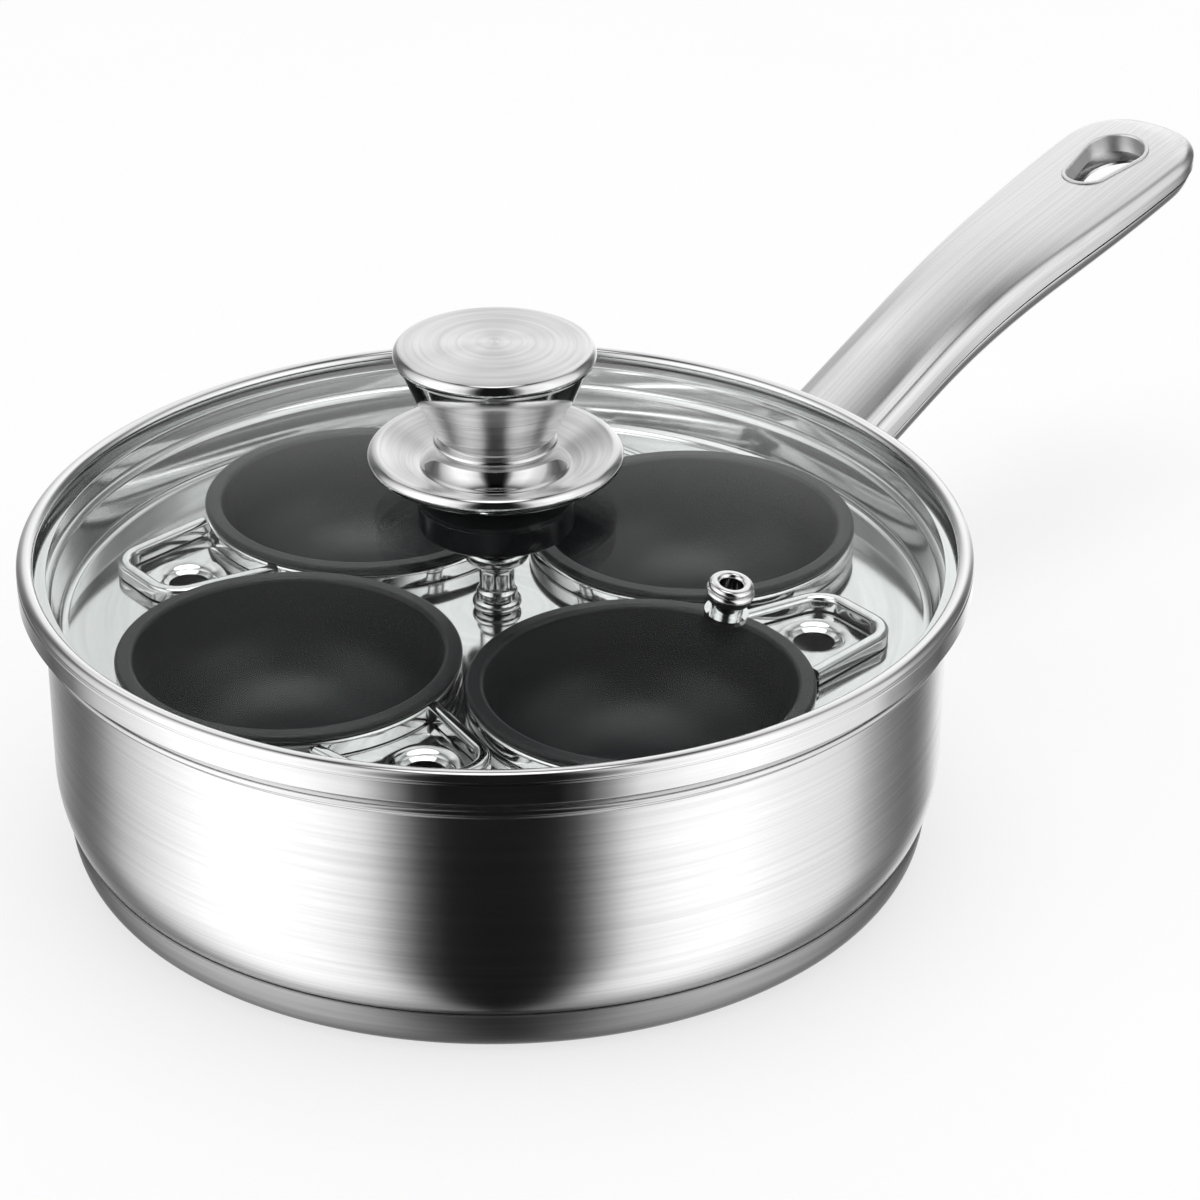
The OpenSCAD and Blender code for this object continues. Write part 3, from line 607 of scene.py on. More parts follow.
def cup_coating():
    """Charcoal non-stick coating: satin, with fine pale flakes that also give its fine bump."""
    material, tree, shader = new_material("charcoal cup coating", Metallic=0.0, Roughness=0.42)
    shader.inputs["Specular IOR Level"].default_value = 0.32
    group = add_group(tree, COATING)
    mixed_colour(tree, group.outputs["Speckle"], (0.0075, 0.0078, 0.0085), (0.024, 0.0245, 0.026), shader)
    ranged(tree, group.outputs["Cloud"], 0.31, 0.39, shader.inputs["Roughness"])
    bumped(tree, group.outputs["Speckle"], 0.04 * MM, shader, 0.8)
    return material


def black_silicone():
    """Matt black silicone with a faint mottle."""
    material, tree, shader = new_material("black silicone", Metallic=0.0, Roughness=0.6)
    group = add_group(tree, COATING, Flakes_per_metre=1600.0)
    mixed_colour(tree, group.outputs["Cloud"], (0.008, 0.008, 0.009), (0.016, 0.016, 0.018), shader)
    ranged(tree, group.outputs["Cloud"], 0.5, 0.68, shader.inputs["Roughness"])
    bumped(tree, group.outputs["Peel"], 0.03 * MM, shader, 0.3)
    return material


def washer_black():
    """The moulded black washer under the glass, half gloss."""
    material, tree, shader = new_material("half gloss black", Metallic=0.0, Roughness=0.24)
    group = add_group(tree, COATING, Flakes_per_metre=900.0)
    mixed_colour(tree, group.outputs["Cloud"], (0.010, 0.010, 0.011), (0.02, 0.02, 0.022), shader)
    ranged(tree, group.outputs["Cloud"], 0.18, 0.28, shader.inputs["Roughness"])
    bumped(tree, group.outputs["Peel"], 0.01 * MM, shader, 0.2)
    return material


def clear_glass():
    """Tempered glass with a faint green and the least waviness. Light passes it without a hard shadow."""
    material, tree, shader = new_material(
        "clear lid glass", Metallic=0.0, Roughness=0.0, IOR=1.12, Transmission_Weight=1.0)
    group = add_group(tree, COATING, Flakes_per_metre=300.0)
    mixed_colour(tree, group.outputs["Cloud"], (0.95, 0.975, 0.965), (0.975, 0.99, 0.985), shader)
    passing = tree.nodes.new("ShaderNodeBsdfTransparent")
    passing.inputs["Color"].default_value = (0.94, 0.95, 0.95, 1)
    rays = tree.nodes.new("ShaderNodeLightPath")
    mix = tree.nodes.new("ShaderNodeMixShader")
    out = tree.nodes["Material Output"]
    tree.links.new(rays.outputs["Is Shadow Ray"], mix.inputs[0])
    tree.links.new(shader.outputs[0], mix.inputs[1])
    tree.links.new(passing.outputs[0], mix.inputs[2])
    tree.links.new(mix.outputs[0], out.inputs["Surface"])
    return material


CUP_COATING = cup_coating()
SILICONE = black_silicone()
WASHER_BLACK = washer_black()
GLASS = clear_glass()


# Pan

def pan_wall():
    """The drawn wall with its rounded corner, floor and rolled rim."""
    corner = (wall_r - corner_w, floor_z + corner_h)
    bead = (wall_r + 0.3 * MM, rim_z - bead_r)
    profile = [(0, floor_z)]
    profile += arc(corner, (corner_w, corner_h), -90, 0, 28)
    profile += [(wall_r, bead[1] - 1.6 * MM)]
    profile += arc(bead, (bead_r, bead_r), -75, 165, 18)
    profile += [(wall_r - wall_t, bead[1] - 1 * MM)]
    profile += arc(corner, (corner_w - wall_t, corner_h - wall_t), 0, -90, 24)
    profile += [(0, floor_z + wall_t)]
    piece = lathe("pan_wall", profile)
    finish_piece(piece, "pan", "pan_steel", WALL_STEEL, "pan_body")


def pan_base_cap():
    """The pressed cap: flat foot, flared side and the fine bright step under the seam."""
    lip = 0.9 * MM
    side_r = cap_edge_r - base_draft
    reach = (floor_z + corner_h - seam_z) / corner_h
    inner_edge = wall_r - corner_w + corner_w * math.sqrt(1 - reach ** 2)
    profile = [(0, 0), (side_r - 0.8 * MM, 0)]
    profile += arc((side_r, seam_z - 0.6 * MM), (base_draft, seam_z - 0.6 * MM), -80, -6, 14)
    profile += [(cap_edge_r, seam_z - 0.5 * MM), (cap_edge_r - 0.15 * MM, seam_z)]
    profile += [(inner_edge + 0.05 * MM, seam_z), (inner_edge + 0.05 * MM, seam_z - 0.5 * MM)]
    profile += [(wall_r - corner_w, floor_z - 0.02 * MM), (0, floor_z - 5 * MM)]
    piece = lathe("pan_base_cap", soften(profile, 0.18 * MM))
    finish_piece(piece, "pan", "base_steel", BASE_STEEL, "base_cap")


# Handle

def ease(x):
    """A smooth step from 0 to 1."""
    u = max(0.0, min(1.0, x))
    return 3 * u * u - 2 * u ** 3


def ease_sum(x):
    """The area under that step from 0 to x."""
    u = max(0.0, min(1.0, x))
    return u ** 3 - u ** 4 / 2 + max(0.0, x - 1)


def spine_z(s):
    """Height of the handle's upper face at the distance s from the pan's axis."""
    bend = bend_to - bend_from
    straight = handle_root_z + root_slope * (s - wall_r)
    return straight + (tip_slope - root_slope) * bend * ease_sum((s - bend_from) / bend)


def face_w(s):
    """Half width of the handle's upper face."""
    return root_half_w + (tip_half_w - root_half_w) * ease((s - flare_from) / (flare_to - flare_from))


def depth_at(s):
    """How much of its full depth the handle has at the distance s from the pan's axis."""
    return 1 - handle_taper * ease((s - wall_r) / handle_reach / 0.6 - 2 / 3)


def squared(x):
    """A sine or cosine drawn out towards the corners, for the tip's squarer round."""
    return math.copysign(abs(x) ** tip_square, x)


def handle_line(share, out, up, side_steps, tip_steps):
    """One line along the handle, round its tip and back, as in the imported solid."""
    start = wall_r + 1.1 * MM
    line = []
    for i in range(2 * side_steps + tip_steps + 1):
        if i < side_steps:
            u, turn = i / side_steps, 0.0
        elif i > side_steps + tip_steps:
            u, turn = (2 * side_steps + tip_steps - i) / side_steps, math.pi
        else:
            u, turn = 1.0, math.pi * (i - side_steps) / tip_steps
        reach = tip_round * (0.6 + 0.4 * share) + out
        along = start + (tip_centre - start) * u
        s = along + reach * squared(math.sin(turn))
        w = (face_w(along) * share + out) * squared(math.cos(turn))
        line.append(Vector((s, -w, spine_z(s) + up * depth_at(s))))
    return line


def handle_shell(name, section, side_steps=64, tip_steps=44):
    """A hollow shell: section rows run from the seam to the centre line, then back inside."""
    rows = len(section)
    lines = [handle_line(k, d, z, side_steps, tip_steps) for k, d, z, _, _ in section]
    lines += [handle_line(k, d + shell_t * dx, z + shell_t * dz, side_steps, tip_steps)
              for k, d, z, dx, dz in reversed(section)]
    count, long = len(lines), len(lines[0])
    half = side_steps + tip_steps // 2

    def index(j, i):
        centre = j in (rows - 1, rows)
        return j * long + (long - 1 - i if centre and i > half else i)

    faces = []
    for j in range(count):
        if j == rows - 1:
            continue
        k = (j + 1) % count
        for i in range(long - 1):
            faces.append([index(j, i), index(j, i + 1), index(k, i + 1), index(k, i)])
    for j in range(rows - 1):
        for i in (0, long - 1):
            quad = [index(j, i), index(j + 1, i), index(count - 2 - j, i), index(count - 1 - j, i)]
            faces.append(quad if i == 0 else [quad[1], quad[0], quad[3], quad[2]])
    kept = []
    for face in faces:
        corners = list(dict.fromkeys(face))
        if len(corners) > 2:
            kept.append(corners)
    mesh = bpy.data.meshes.new(name)
    mesh.from_pydata([p for line in lines for p in line], [], kept)
    shaped = bmesh.new()
    shaped.from_mesh(mesh)
    loose = [v for v in shaped.verts if not v.link_faces]
    bmesh.ops.delete(shaped, geom=loose, context="VERTS")
    bmesh.ops.recalc_face_normals(shaped, faces=shaped.faces)
    shaped.to_mesh(mesh)
    shaped.free()
    return link(name, mesh)


SLOT_PLACE = (
    Matrix.Translation(Vector((slot_s, 0, spine_z(slot_s))))
    @ Matrix.Rotation(-math.atan(tip_slope), 4, "Y")
)


def slot_outline(grow, steps=28):
    """The egg-shaped slot's outline with its outward normals, in the slot's own plane."""
    x0 = -slot_span / 2 - 1.4 * MM
    x1 = x0 + slot_span
    lean = math.degrees(math.asin((slot_far_r - slot_near_r) / slot_span))
    near = arc((x0, 0), (slot_near_r + grow,) * 2, 90 + lean, 270 - lean, steps)
    far = arc((x1, 0), (slot_far_r + grow,) * 2, -90 - lean, 90 + lean, steps)
    return near + far


def upper_section():
    """Rows of the upper shell: seam, side, rounded shoulder and crown."""
    rows = [(1, side_w, -shell_seam, -1, 0), (1, side_w, -4.8 * MM, -1, 0)]
    for x, z in arc((-1.3 * MM, -3.4 * MM), (3.1 * MM, 3.35 * MM), 0, 78, 10):
        lean = math.atan2(z + 3.4 * MM, x + 1.3 * MM)
        rows.append((1, x, z, -math.cos(lean) * 0.95, -math.sin(lean) * 0.95))
    for k in (0.82, 0.72, 0.6, 0.48, 0.36, 0.24, 0.12, 0.0):
        rows.append((k, 0, crown_h * (1 - k * k), 0, -1))
    return rows


def lower_section():
    """Rows of the lower shell: a shadow groove under the seam, side, rounded lower edge and flat underside."""
    edge = side_w - 0.5 * MM
    groove = edge - 0.6 * MM
    rows = [(1, groove, -shell_seam - 0.05 * MM, -1, 0), (1, groove, -shell_seam - 0.9 * MM, -1, 0)]
    rows += [(1, edge - 0.1 * MM, -shell_seam - seam_groove, -1, 0), (1, edge, -shell_seam - 1.3 * MM, -1, 0)]
    rows.append((1, edge - 0.15 * MM, -shell_seam - 2.2 * MM, -1, 0.05))
    centre = (-5.4 * MM, 6.7 * MM - handle_depth)
    for x, z in arc(centre, (6.4 * MM, 6.2 * MM), -18, -84, 12):
        lean = math.atan2(z - centre[1], x - centre[0])
        rows.append((1, x, z, -math.cos(lean) * 0.95, -math.sin(lean) * 0.95))
    rows += [(0.25, 0, -handle_depth + 0.1 * MM, 0, 1), (0.0, 0, -handle_depth, 0, 1)]
    return rows


def handle():
    """Both shells, cut by the hanging slot. The lower shell's opening is wider and lies further out."""
    for name, section, node, grow, shift in (
        ("handle_top", upper_section(), "handle_upper_shell", 0, 0),
        ("handle_trough", lower_section(), "handle_lower_shell", slot_relief, slot_relief + 1 * MM),
    ):
        shell = handle_shell(name, section)
        outline = [(x + shift, y) for x, y in slot_outline(grow)]
        carve(shell, prism("slot_cutter", outline, -26 * MM, 10 * MM, SLOT_PLACE))
        smooth_by_angle(shell, 38)
        finish_piece(shell, "pan", "handle_steel", HANDLE_STEEL, node)


def slot_sleeve():
    """The rim that lines the hanging slot in the upper shell, with a thin rolled lip on its face."""
    wide = face_w(slot_s)
    # Rows of the rim's section: how far outside the slot's edge, the height, and the end it belongs to
    lip = 0.5 * MM
    section = [(-0.8 * MM, -slot_rim_h, 0), (0, -slot_rim_h, 0), (0, -0.3 * MM, 1)]
    section += [(x, z, 1) for x, z in arc((0, 0.05 * MM), (lip, 0.18 * MM), 0, 90, 5)]
    section += [(x, z, 1) for x, z in arc((-0.1 * MM, -0.35 * MM), (0.7 * MM, 0.58 * MM), 90, 180, 6)]
    verts, faces = [], []
    for grow, height, top in section:
        for x, y in slot_outline(grow):
            crown = crown_h * (1 - (y / wide) ** 2) if top else 0
            verts.append(SLOT_PLACE @ Vector((x, y, height + crown)))
    ring = len(slot_outline(0))
    rows = len(section)
    for j in range(rows):
        k = (j + 1) % rows
        for i in range(ring):
            m = (i + 1) % ring
            faces.append([j * ring + i, j * ring + m, k * ring + m, k * ring + i])
    mesh = bpy.data.meshes.new("slot_sleeve")
    mesh.from_pydata(verts, [], faces)
    piece = link("slot_sleeve", mesh)
    smooth_by_angle(piece, 40)
    finish_piece(piece, "pan", "bright_trim", SLEEVE_STEEL, "hanging_slot_sleeve")


# Tray

def ring_points(centre, radius, steps):
    """Points on a circle, as (x, y)."""
    return [(centre[0] + radius * math.cos(2 * math.pi * i / steps),
             centre[1] + radius * math.sin(2 * math.pi * i / steps)) for i in range(steps)]


def polar(radius, degrees):
    """A point at a radius and an angle."""
    t = math.radians(degrees)
    return (radius * math.cos(t), radius * math.sin(t))


def flat_with_holes(name, outlines, low, high):
    """A flat plate from an outer outline and its holes."""
    curve = bpy.data.curves.new(name, "CURVE")
    curve.dimensions = "2D"
    curve.fill_mode = "BOTH"
    curve.extrude = (high - low) / 2
    for outline in outlines:
        spline = curve.splines.new("POLY")
        spline.points.add(len(outline) - 1)
        for point, (x, y) in zip(spline.points, outline):
            point.co = (x, y, 0, 1)
        spline.use_cyclic_u = True
    holder = bpy.data.objects.new(name, curve)
    bpy.context.scene.collection.objects.link(holder)
    graph = bpy.context.evaluated_depsgraph_get()
    mesh = bpy.data.meshes.new_from_object(holder.evaluated_get(graph))
    bpy.data.objects.remove(holder)
    mesh.transform(Matrix.Translation((0, 0, (low + high) / 2)))
    return link(name, mesh)


def join(pieces):
    """Joins mesh objects into the first one."""
    bpy.ops.object.select_all(action="DESELECT")
    for piece in pieces:
        piece.select_set(True)
    bpy.context.view_layer.objects.active = pieces[0]
    bpy.ops.object.join()
    return pieces[0]


def tray():
    """The tray: hemmed flange and wall, the flat with its four cup holes, and the dished steam holes."""
    foot = tray_wall_r - 1 * MM
    inner_foot = foot - tray_t
    flat_edge = tray_flat_r - 0.6 * MM
    hem = (flange_r, flange_top - 0.75 * MM)
    profile = [(flat_edge, tray_z - tray_t), (foot - 2 * MM, tray_z - tray_t)]
    profile += arc((foot - 2 * MM, tray_z - tray_t + 2 * MM), (2 * MM, 2 * MM), -80, 0, 8)
    profile += [(tray_wall_r, flange_z - 1.4 * MM)]
    profile += arc((tray_wall_r + 1.2 * MM, flange_z - 1.2 * MM), (1.2 * MM, 1.2 * MM), 175, 90, 7)
    profile += [(flange_r - 0.4 * MM, flange_z)]
    profile += arc(hem, (0.75 * MM, 0.75 * MM), -120, 90, 12)
    profile += arc((tray_wall_r + 1.2 * MM, flange_top - 2 * MM), (2 * MM, 2 * MM), 90, 180, 10)
    profile += [(inner_foot, tray_z + 1.9 * MM)]
    profile += arc((inner_foot - 1.8 * MM, tray_z + 1.8 * MM), (1.8 * MM, 1.8 * MM), -2, -88, 8)
    profile += [(flat_edge, tray_z)]
    rim = lathe("tray_plate_dressed", profile, steps=320)
    outlines = [ring_points((0, 0), flat_edge, 320), ring_points((0, 0), 2.8 * MM, 40)]
    parts = [rim]
    dish_r = steam_r + steam_dish_w
    for angle in CUP_ANGLES:
        outlines.append(ring_points(polar(cup_pitch, angle), bowl_out_r + 0.8 * MM, 160))
        hole = polar(steam_pitch, angle + STEAM_TURN)
        outlines.append(ring_points(hole, dish_r, 72))
        dish = [(dish_r, tray_z - tray_t), (dish_r, tray_z)]
        dish += arc((dish_r, tray_z - 1.6 * MM), (steam_dish_w * 0.8, 1.6 * MM), 100, 165, 8)
        dish += [(steam_r, tray_z - 1.6 * MM), (steam_r, tray_z - 2.2 * MM)]
        dish += [(steam_r + 1 * MM, tray_z - 2 * MM)]
        parts.append(lathe("steam_dish", dish, Matrix.Translation((*hole, 0)), steps=72))
    flat = flat_with_holes("tray_flat", outlines, tray_z - tray_t, tray_z)
    smooth_by_angle(flat, 30)
    parts.append(flat)
    piece = join(parts)
    finish_piece(piece, "tray", "tray_steel", TRAY_STEEL, "tray_plate")


def lifting_post():
    """The post: bulged foot, waisted neck and round head."""
    low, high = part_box("lifting_post")
    neck, foot, head = 3.9 * MM, 5.2 * MM, high.x
    base = low.z
    profile = [(0, base), (foot - 0.8 * MM, base)]
    profile += arc((foot - 1.4 * MM, base + 1.6 * MM), (1.7 * MM, 1.6 * MM), -60, 60, 10)
    profile += arc((neck + 2.2 * MM, base + 6.2 * MM), (2.2 * MM, 2.6 * MM), 225, 180, 6)
    profile += arc((neck + 2.2 * MM, high.z - 7 * MM), (2.2 * MM, 2.6 * MM), 180, 130, 6)
    profile += arc((head - 2 * MM, high.z - 2.3 * MM), (2 * MM, 2.1 * MM), -70, 80, 12)
    profile += [(head * 0.45, high.z - 0.06 * MM), (0, high.z)]
    piece = lathe("lifting_post_dressed", profile, steps=96)
    finish_piece(piece, "tray", "post_steel", POST_STEEL, "lifting_post")


# Cups

def cup_place(index):
    """Where a cup's axis stands, with X pointing away from the pan's axis."""
    turn = Matrix.Rotation(math.radians(CUP_ANGLES[index - 1]), 4, "Z")
    return turn @ Matrix.Translation((cup_pitch, 0, 0))


def egg_cup(index):
    """A cup: broad rounded lip, straight collar, round bowl and a small flat floor."""
    wall_top = tray_z - 3 * MM
    flat_r = 12 * MM
    bowl_h = wall_top - cup_base_z
    inner_foot = bowl_out_r - cup_wall
    edge = (lip_top - ring_top) / 2
    profile = [(0, cup_base_z)]
    profile += arc((flat_r, wall_top), (bowl_out_r - flat_r, bowl_h), -90, 0, 36)
    profile += [(bowl_out_r, ring_top), (lip_r - edge, ring_top)]
    profile += arc((lip_r - edge, ring_top + edge), (edge, edge), -70, 82, 12)
    profile += arc((bowl_r + 1 * MM, lip_top - 1.2 * MM), (1.25 * MM, 1.2 * MM), 96, 168, 8)
    profile += [(inner_foot, wall_top)]
    profile += arc((flat_r, wall_top), (inner_foot - flat_r, bowl_h - cup_wall), -2, -90, 36)
    profile += [(0, cup_base_z + cup_wall)]
    piece = lathe(f"egg_cup_{index}_dressed", profile, cup_place(index), steps=192)
    finish_piece(piece, f"cup_{index}", "cup_coating", CUP_COATING, f"egg_cup_{index}")


def loop_route(start, reach):
    """The middle line of the loop's bar, from the ring out, round the steam hole and back."""
    lean = math.degrees(math.atan((loop_root_w - loop_end_w) / (reach - start)))
    cx = reach - loop_bar / 2 - loop_bend
    cy = loop_end_w - loop_bend
    points = [(start, -loop_root_w)]
    points += arc((cx, -cy), (loop_bend, loop_bend), -90 + lean, 0, 12)
    points += arc((cx, cy), (loop_bend, loop_bend), 0, 90 - lean, 12)
    points += [(start, loop_root_w)]
    return points


def cup_loop(index, place):
    """The loop's bar: a flat-sided bar with a round top, bent to a U."""
    aim = Matrix.Rotation(loop_aim, 4, "Z")
    route = loop_route(lip_r - 2.9 * MM, math.hypot(*STEAM_AT) + loop_reach)
    half, top, edge = loop_bar / 2, ring_h - 0.1 * MM, 1.25 * MM
    section = [(-half + 0.3 * MM, 0.12 * MM), (half - 0.3 * MM, 0.12 * MM), (half, 0.42 * MM)]
    section += arc((half - edge, top - edge), (edge, edge), 0, 90, 6)
    section += arc((-half + edge, top - edge), (edge, edge), 90, 180, 6)
    section += [(-half, 0.42 * MM)]
    verts, faces = [], []
    for i, (x, y) in enumerate(route):
        ahead = Vector(route[min(i + 1, len(route) - 1)]) - Vector(route[max(i - 1, 0)])
        side = Vector((ahead.y, -ahead.x)).normalized()
        for out, up in section:
            local = Vector((x + side.x * out, y + side.y * out - loop_shift, ring_z + up))
            verts.append(place @ aim @ local)
    ring = len(section)
    for j in range(len(route) - 1):
        for i in range(ring):
            m = (i + 1) % ring
            faces.append([j * ring + i, j * ring + m, (j + 1) * ring + m, (j + 1) * ring + i])
    faces.append(list(range(ring))[::-1])
    last = (len(route) - 1) * ring
    faces.append([last + i for i in range(ring)])
    mesh = bpy.data.meshes.new("cup_loop")
    mesh.from_pydata(verts, [], faces)
    shaped = bmesh.new()
    shaped.from_mesh(mesh)
    bmesh.ops.recalc_face_normals(shaped, faces=shaped.faces)
    shaped.to_mesh(mesh)
    shaped.free()
    return link("cup_loop", mesh)


def cup_ring(index):
    """The ring under a cup's lip and its loop, as one piece."""
    inner, outer, edge = bowl_out_r + 0.1 * MM, lip_r - 0.1 * MM, 0.9 * MM
    profile = [(inner, ring_z), (outer - 0.3 * MM, ring_z), (outer, ring_z + 0.3 * MM)]
    profile += arc((outer - edge, ring_top - edge), (edge, edge), 0, 90, 7)
    profile += [(inner, ring_top)]
    place = cup_place(index)
    ring = lathe(f"cup_ring_{index}_dressed", profile, place, steps=160)
    piece = carve(ring, cup_loop(index, place), "UNION")
    smooth_by_angle(piece, 34)
    finish_piece(piece, f"cup_{index}", "ring_steel", RING_STEEL, f"cup_ring_{index}")


# Lid

def lid_band():
    """The rim: outer band with a groove, rolled top edge, ledge for the glass, and the leg."""
    leg = ledge_r + 0.4 * MM
    profile = [(band_r - band_t, band_z), (band_r - 0.15 * MM, band_z), (band_r, band_z + 0.15 * MM)]
    profile += [(band_r, roll_z - 1.1 * MM), (band_r - 0.45 * MM, roll_z - 0.75 * MM)]
    profile += arc((band_r - roll_w / 2, roll_z), (roll_w / 2, roll_h), -14, 180, 26)
    profile += [(band_r - roll_w, roll_z - 0.5 * MM), (band_r - band_t, roll_z - 0.5 * MM)]
    profile += [(band_r - band_t, ledge_z + 1 * MM), (ledge_r, ledge_z + 1 * MM), (ledge_r, ledge_z)]
    profile += [(leg, ledge_z), (leg, lid_foot_z), (leg + 1.2 * MM, lid_foot_z)]
    profile += [(leg + 1.2 * MM, ledge_z), (band_r - band_t, ledge_z)]
    piece = lathe("lid_band_dressed", soften(profile, 0.2 * MM), steps=320)
    finish_piece(piece, "lid", "lid_rim_steel", BAND_STEEL, "lid_band")


def lid_glass():
    """The dome: two spherical faces with the ground edge, bored for the knob's screw and the vent."""
    bore = screw_r + 1.5 * MM
    edge_angle = math.degrees(math.acos(glass_r / dome_r))
    bore_angle = math.degrees(math.acos(bore / dome_r))
    low_r = dome_r - glass_t
    low_edge = math.degrees(math.acos(glass_r / low_r))
    low_bore = math.degrees(math.acos(bore / low_r))
    profile = arc((0, dome_c), (dome_r, dome_r), edge_angle, bore_angle, 48)
    profile += arc((0, dome_c), (low_r, low_r), low_bore, low_edge, 48)
    profile = [(r, max(z, ledge_z + 1.05 * MM)) for r, z in profile]
    piece = lathe("lid_glass_dome", profile, steps=256)
    hole = ring_points((0, 0), vent_bore_r + 1.1 * MM, 48)
    carve(piece, prism("vent_drill", hole, -3 * glass_t, 2 * glass_t, VENT_PLACE))
    mesh = piece.data
    centre = Vector((0, 0, dome_c))
    normals = []
    for face in mesh.polygons:
        for index in face.loop_indices:
            out = (mesh.vertices[mesh.loops[index].vertex_index].co - centre).normalized()
            near = face.normal.dot(out)
            normals.append(out if near > 0.95 else -out if near < -0.95 else face.normal.copy())
    mesh.polygons.foreach_set("use_smooth", [True] * len(mesh.polygons))
    mesh.normals_split_custom_set(normals)
    finish_piece(piece, "lid", "lid_glass", GLASS, "lid_glass")


VENT_PLACE = (
    Matrix.Rotation(vent_angle, 4, "Z")
    @ Matrix.Translation((0, 0, dome_c))
    @ Matrix.Rotation(math.asin(vent_r / dome_r), 4, "Y")
    @ Matrix.Translation((0, 0, dome_r))
)


def vent_eyelet():
    """The vent's eyelet: two stacked beads round a dark bore, on a barrel through the glass."""
    flat = 0.8 * MM
    profile = [(vent_bore_r, -glass_t - 1.6 * MM), (vent_bore_r + 0.8 * MM, -glass_t - 1.6 * MM)]
    profile += [(vent_bore_r + 0.8 * MM, flat), (vent_bore_r + 1.6 * MM, flat)]
    profile += arc((vent_bore_r + 1.6 * MM, flat + 0.95 * MM), (1.2 * MM, 0.95 * MM), -80, 60, 12)
    profile += arc((vent_bore_r + 1.3 * MM, flat + 2.4 * MM), (1.1 * MM, 1.0 * MM), -60, 90, 12)
    profile += arc((vent_bore_r + 1.0 * MM, flat + 2.4 * MM), (1.0 * MM, 1.0 * MM), 95, 180, 8)
    piece = lathe("vent_eyelet_dressed", profile, VENT_PLACE, steps=96)
    finish_piece(piece, "lid", "bright_trim", TRIM_STEEL, "vent_eyelet")


# Knob

def knob_base():
    """The saucer with its thick round edge, and the flared skirt that rises to the waist."""
    foot = waist_r + 2.9 * MM
    skirt_h = waist_z - skirt_z - 2.4 * MM
    profile = [(screw_r, saucer_z), (washer_r - 1 * MM, saucer_z), (washer_r + 0.5 * MM, saucer_z + 0.5 * MM)]
    profile += arc((saucer_r - 2 * MM, saucer_rim_z - 1.9 * MM), (2 * MM, 1.9 * MM), -66, 108, 22)
    profile += [(foot + 0.5 * MM, skirt_z + 0.15 * MM), (foot + 0.15 * MM, skirt_z + 0.25 * MM)]
    for j in range(15):
        u = j / 14
        out = foot - (foot - waist_r) * (1 - (1 - u) ** 2) - 0.1 * MM
        profile.append((out, skirt_z + 0.6 * MM + skirt_h * u))
    profile += arc((waist_r - 0.2 * MM, waist_z - 0.8 * MM), (0.6 * MM, 0.8 * MM), -60, 90, 8)
    profile += [(screw_r, waist_z)]
    piece = lathe("knob_saucer", soften(profile, 0.12 * MM, sharp=45))
    finish_piece(piece, "lid", "knob_steel", KNOB_STEEL, "knob_base")


def knob_grip():
    """The tapered grip: a recessed neck and an inverted cone in two sections with a fine step."""
    top_r = cap_r - 1.2 * MM
    grip_h = cap_z - grip_z
    step_z = grip_z + grip_h * 0.52
    step_r = waist_r + (top_r - waist_r) * 0.52
    neck = waist_r - 1.1 * MM
    profile = [(0, waist_z + 6 * MM), (screw_r, waist_z + 6 * MM), (screw_r, waist_z)]
    profile += [(neck, waist_z), (neck, grip_z), (waist_r - 0.3 * MM, grip_z)]
    profile += [(waist_r + 0.1 * MM, grip_z + 0.35 * MM), (step_r, step_z)]
    profile += [(step_r + 0.35 * MM, step_z + 0.3 * MM), (top_r, cap_z), (0, cap_z)]
    piece = lathe("knob_cone", soften(profile, 0.12 * MM))
    finish_piece(piece, "lid", "knob_steel", KNOB_STEEL, "knob_grip")


def knob_cap():
    """The crowned cap with its rolled edge."""
    profile = [(0, cap_z + 0.02 * MM), (cap_r - 1.3 * MM, cap_z + 0.02 * MM)]
    profile += arc((cap_r - 1.6 * MM, cap_z + 1.9 * MM), (1.6 * MM, 1.9 * MM), -60, 72, 18)
    for j in range(25):
        u = 1 - j / 24
        profile.append(((cap_r - 1.6 * MM) * u, knob_top - 0.9 * MM * u * u))
    piece = lathe("knob_cap_dressed", profile)
    finish_piece(piece, "lid", "knob_steel", KNOB_STEEL, "knob_cap")


def washer_under_glass():
    """The cup washer that shows dark through the glass."""
    profile = [(screw_r + 0.3 * MM, washer_low + 1 * MM), (8 * MM, washer_low + 1 * MM)]
    profile += [(8.8 * MM, washer_low)]
    profile += arc((washer_r - 1.4 * MM, washer_low + 1.4 * MM), (1.4 * MM, 1.4 * MM), -90, 0, 10)
    profile += [(washer_r, washer_high), (screw_r + 0.3 * MM, washer_high)]
    piece = lathe("washer_under_glass", soften(profile, 0.2 * MM), steps=128)
    finish_piece(piece, "lid", "washer_dark", WASHER_BLACK, "inner_washer")


# Carried-over nodes keep their shape and take a finish

def dress_nodes():
    """Materials for the nodes that stay as they are."""
    finishes = {
        "base_core": CORE_METAL, "handle_saddle": HANDLE_STEEL, "post_washer": SCREW_STEEL,
        "post_screw": SCREW_STEEL, "vent_gasket": SILICONE, "vent_washer": TRIM_STEEL,
        "knob_gasket": SILICONE, "inner_gasket": SILICONE, "knob_screw": SCREW_STEEL,
    }
    for node, material in finishes.items():
        for slot in nodes[node].material_slots:
            slot.material = material


pan_wall()
pan_base_cap()
handle()
slot_sleeve()
tray()
lifting_post()
for cup in CUPS:
    egg_cup(cup)
    cup_ring(cup)
lid_band()
lid_glass()
vent_eyelet()
knob_base()
knob_grip()
knob_cap()
washer_under_glass()
dress_nodes()


# Studio

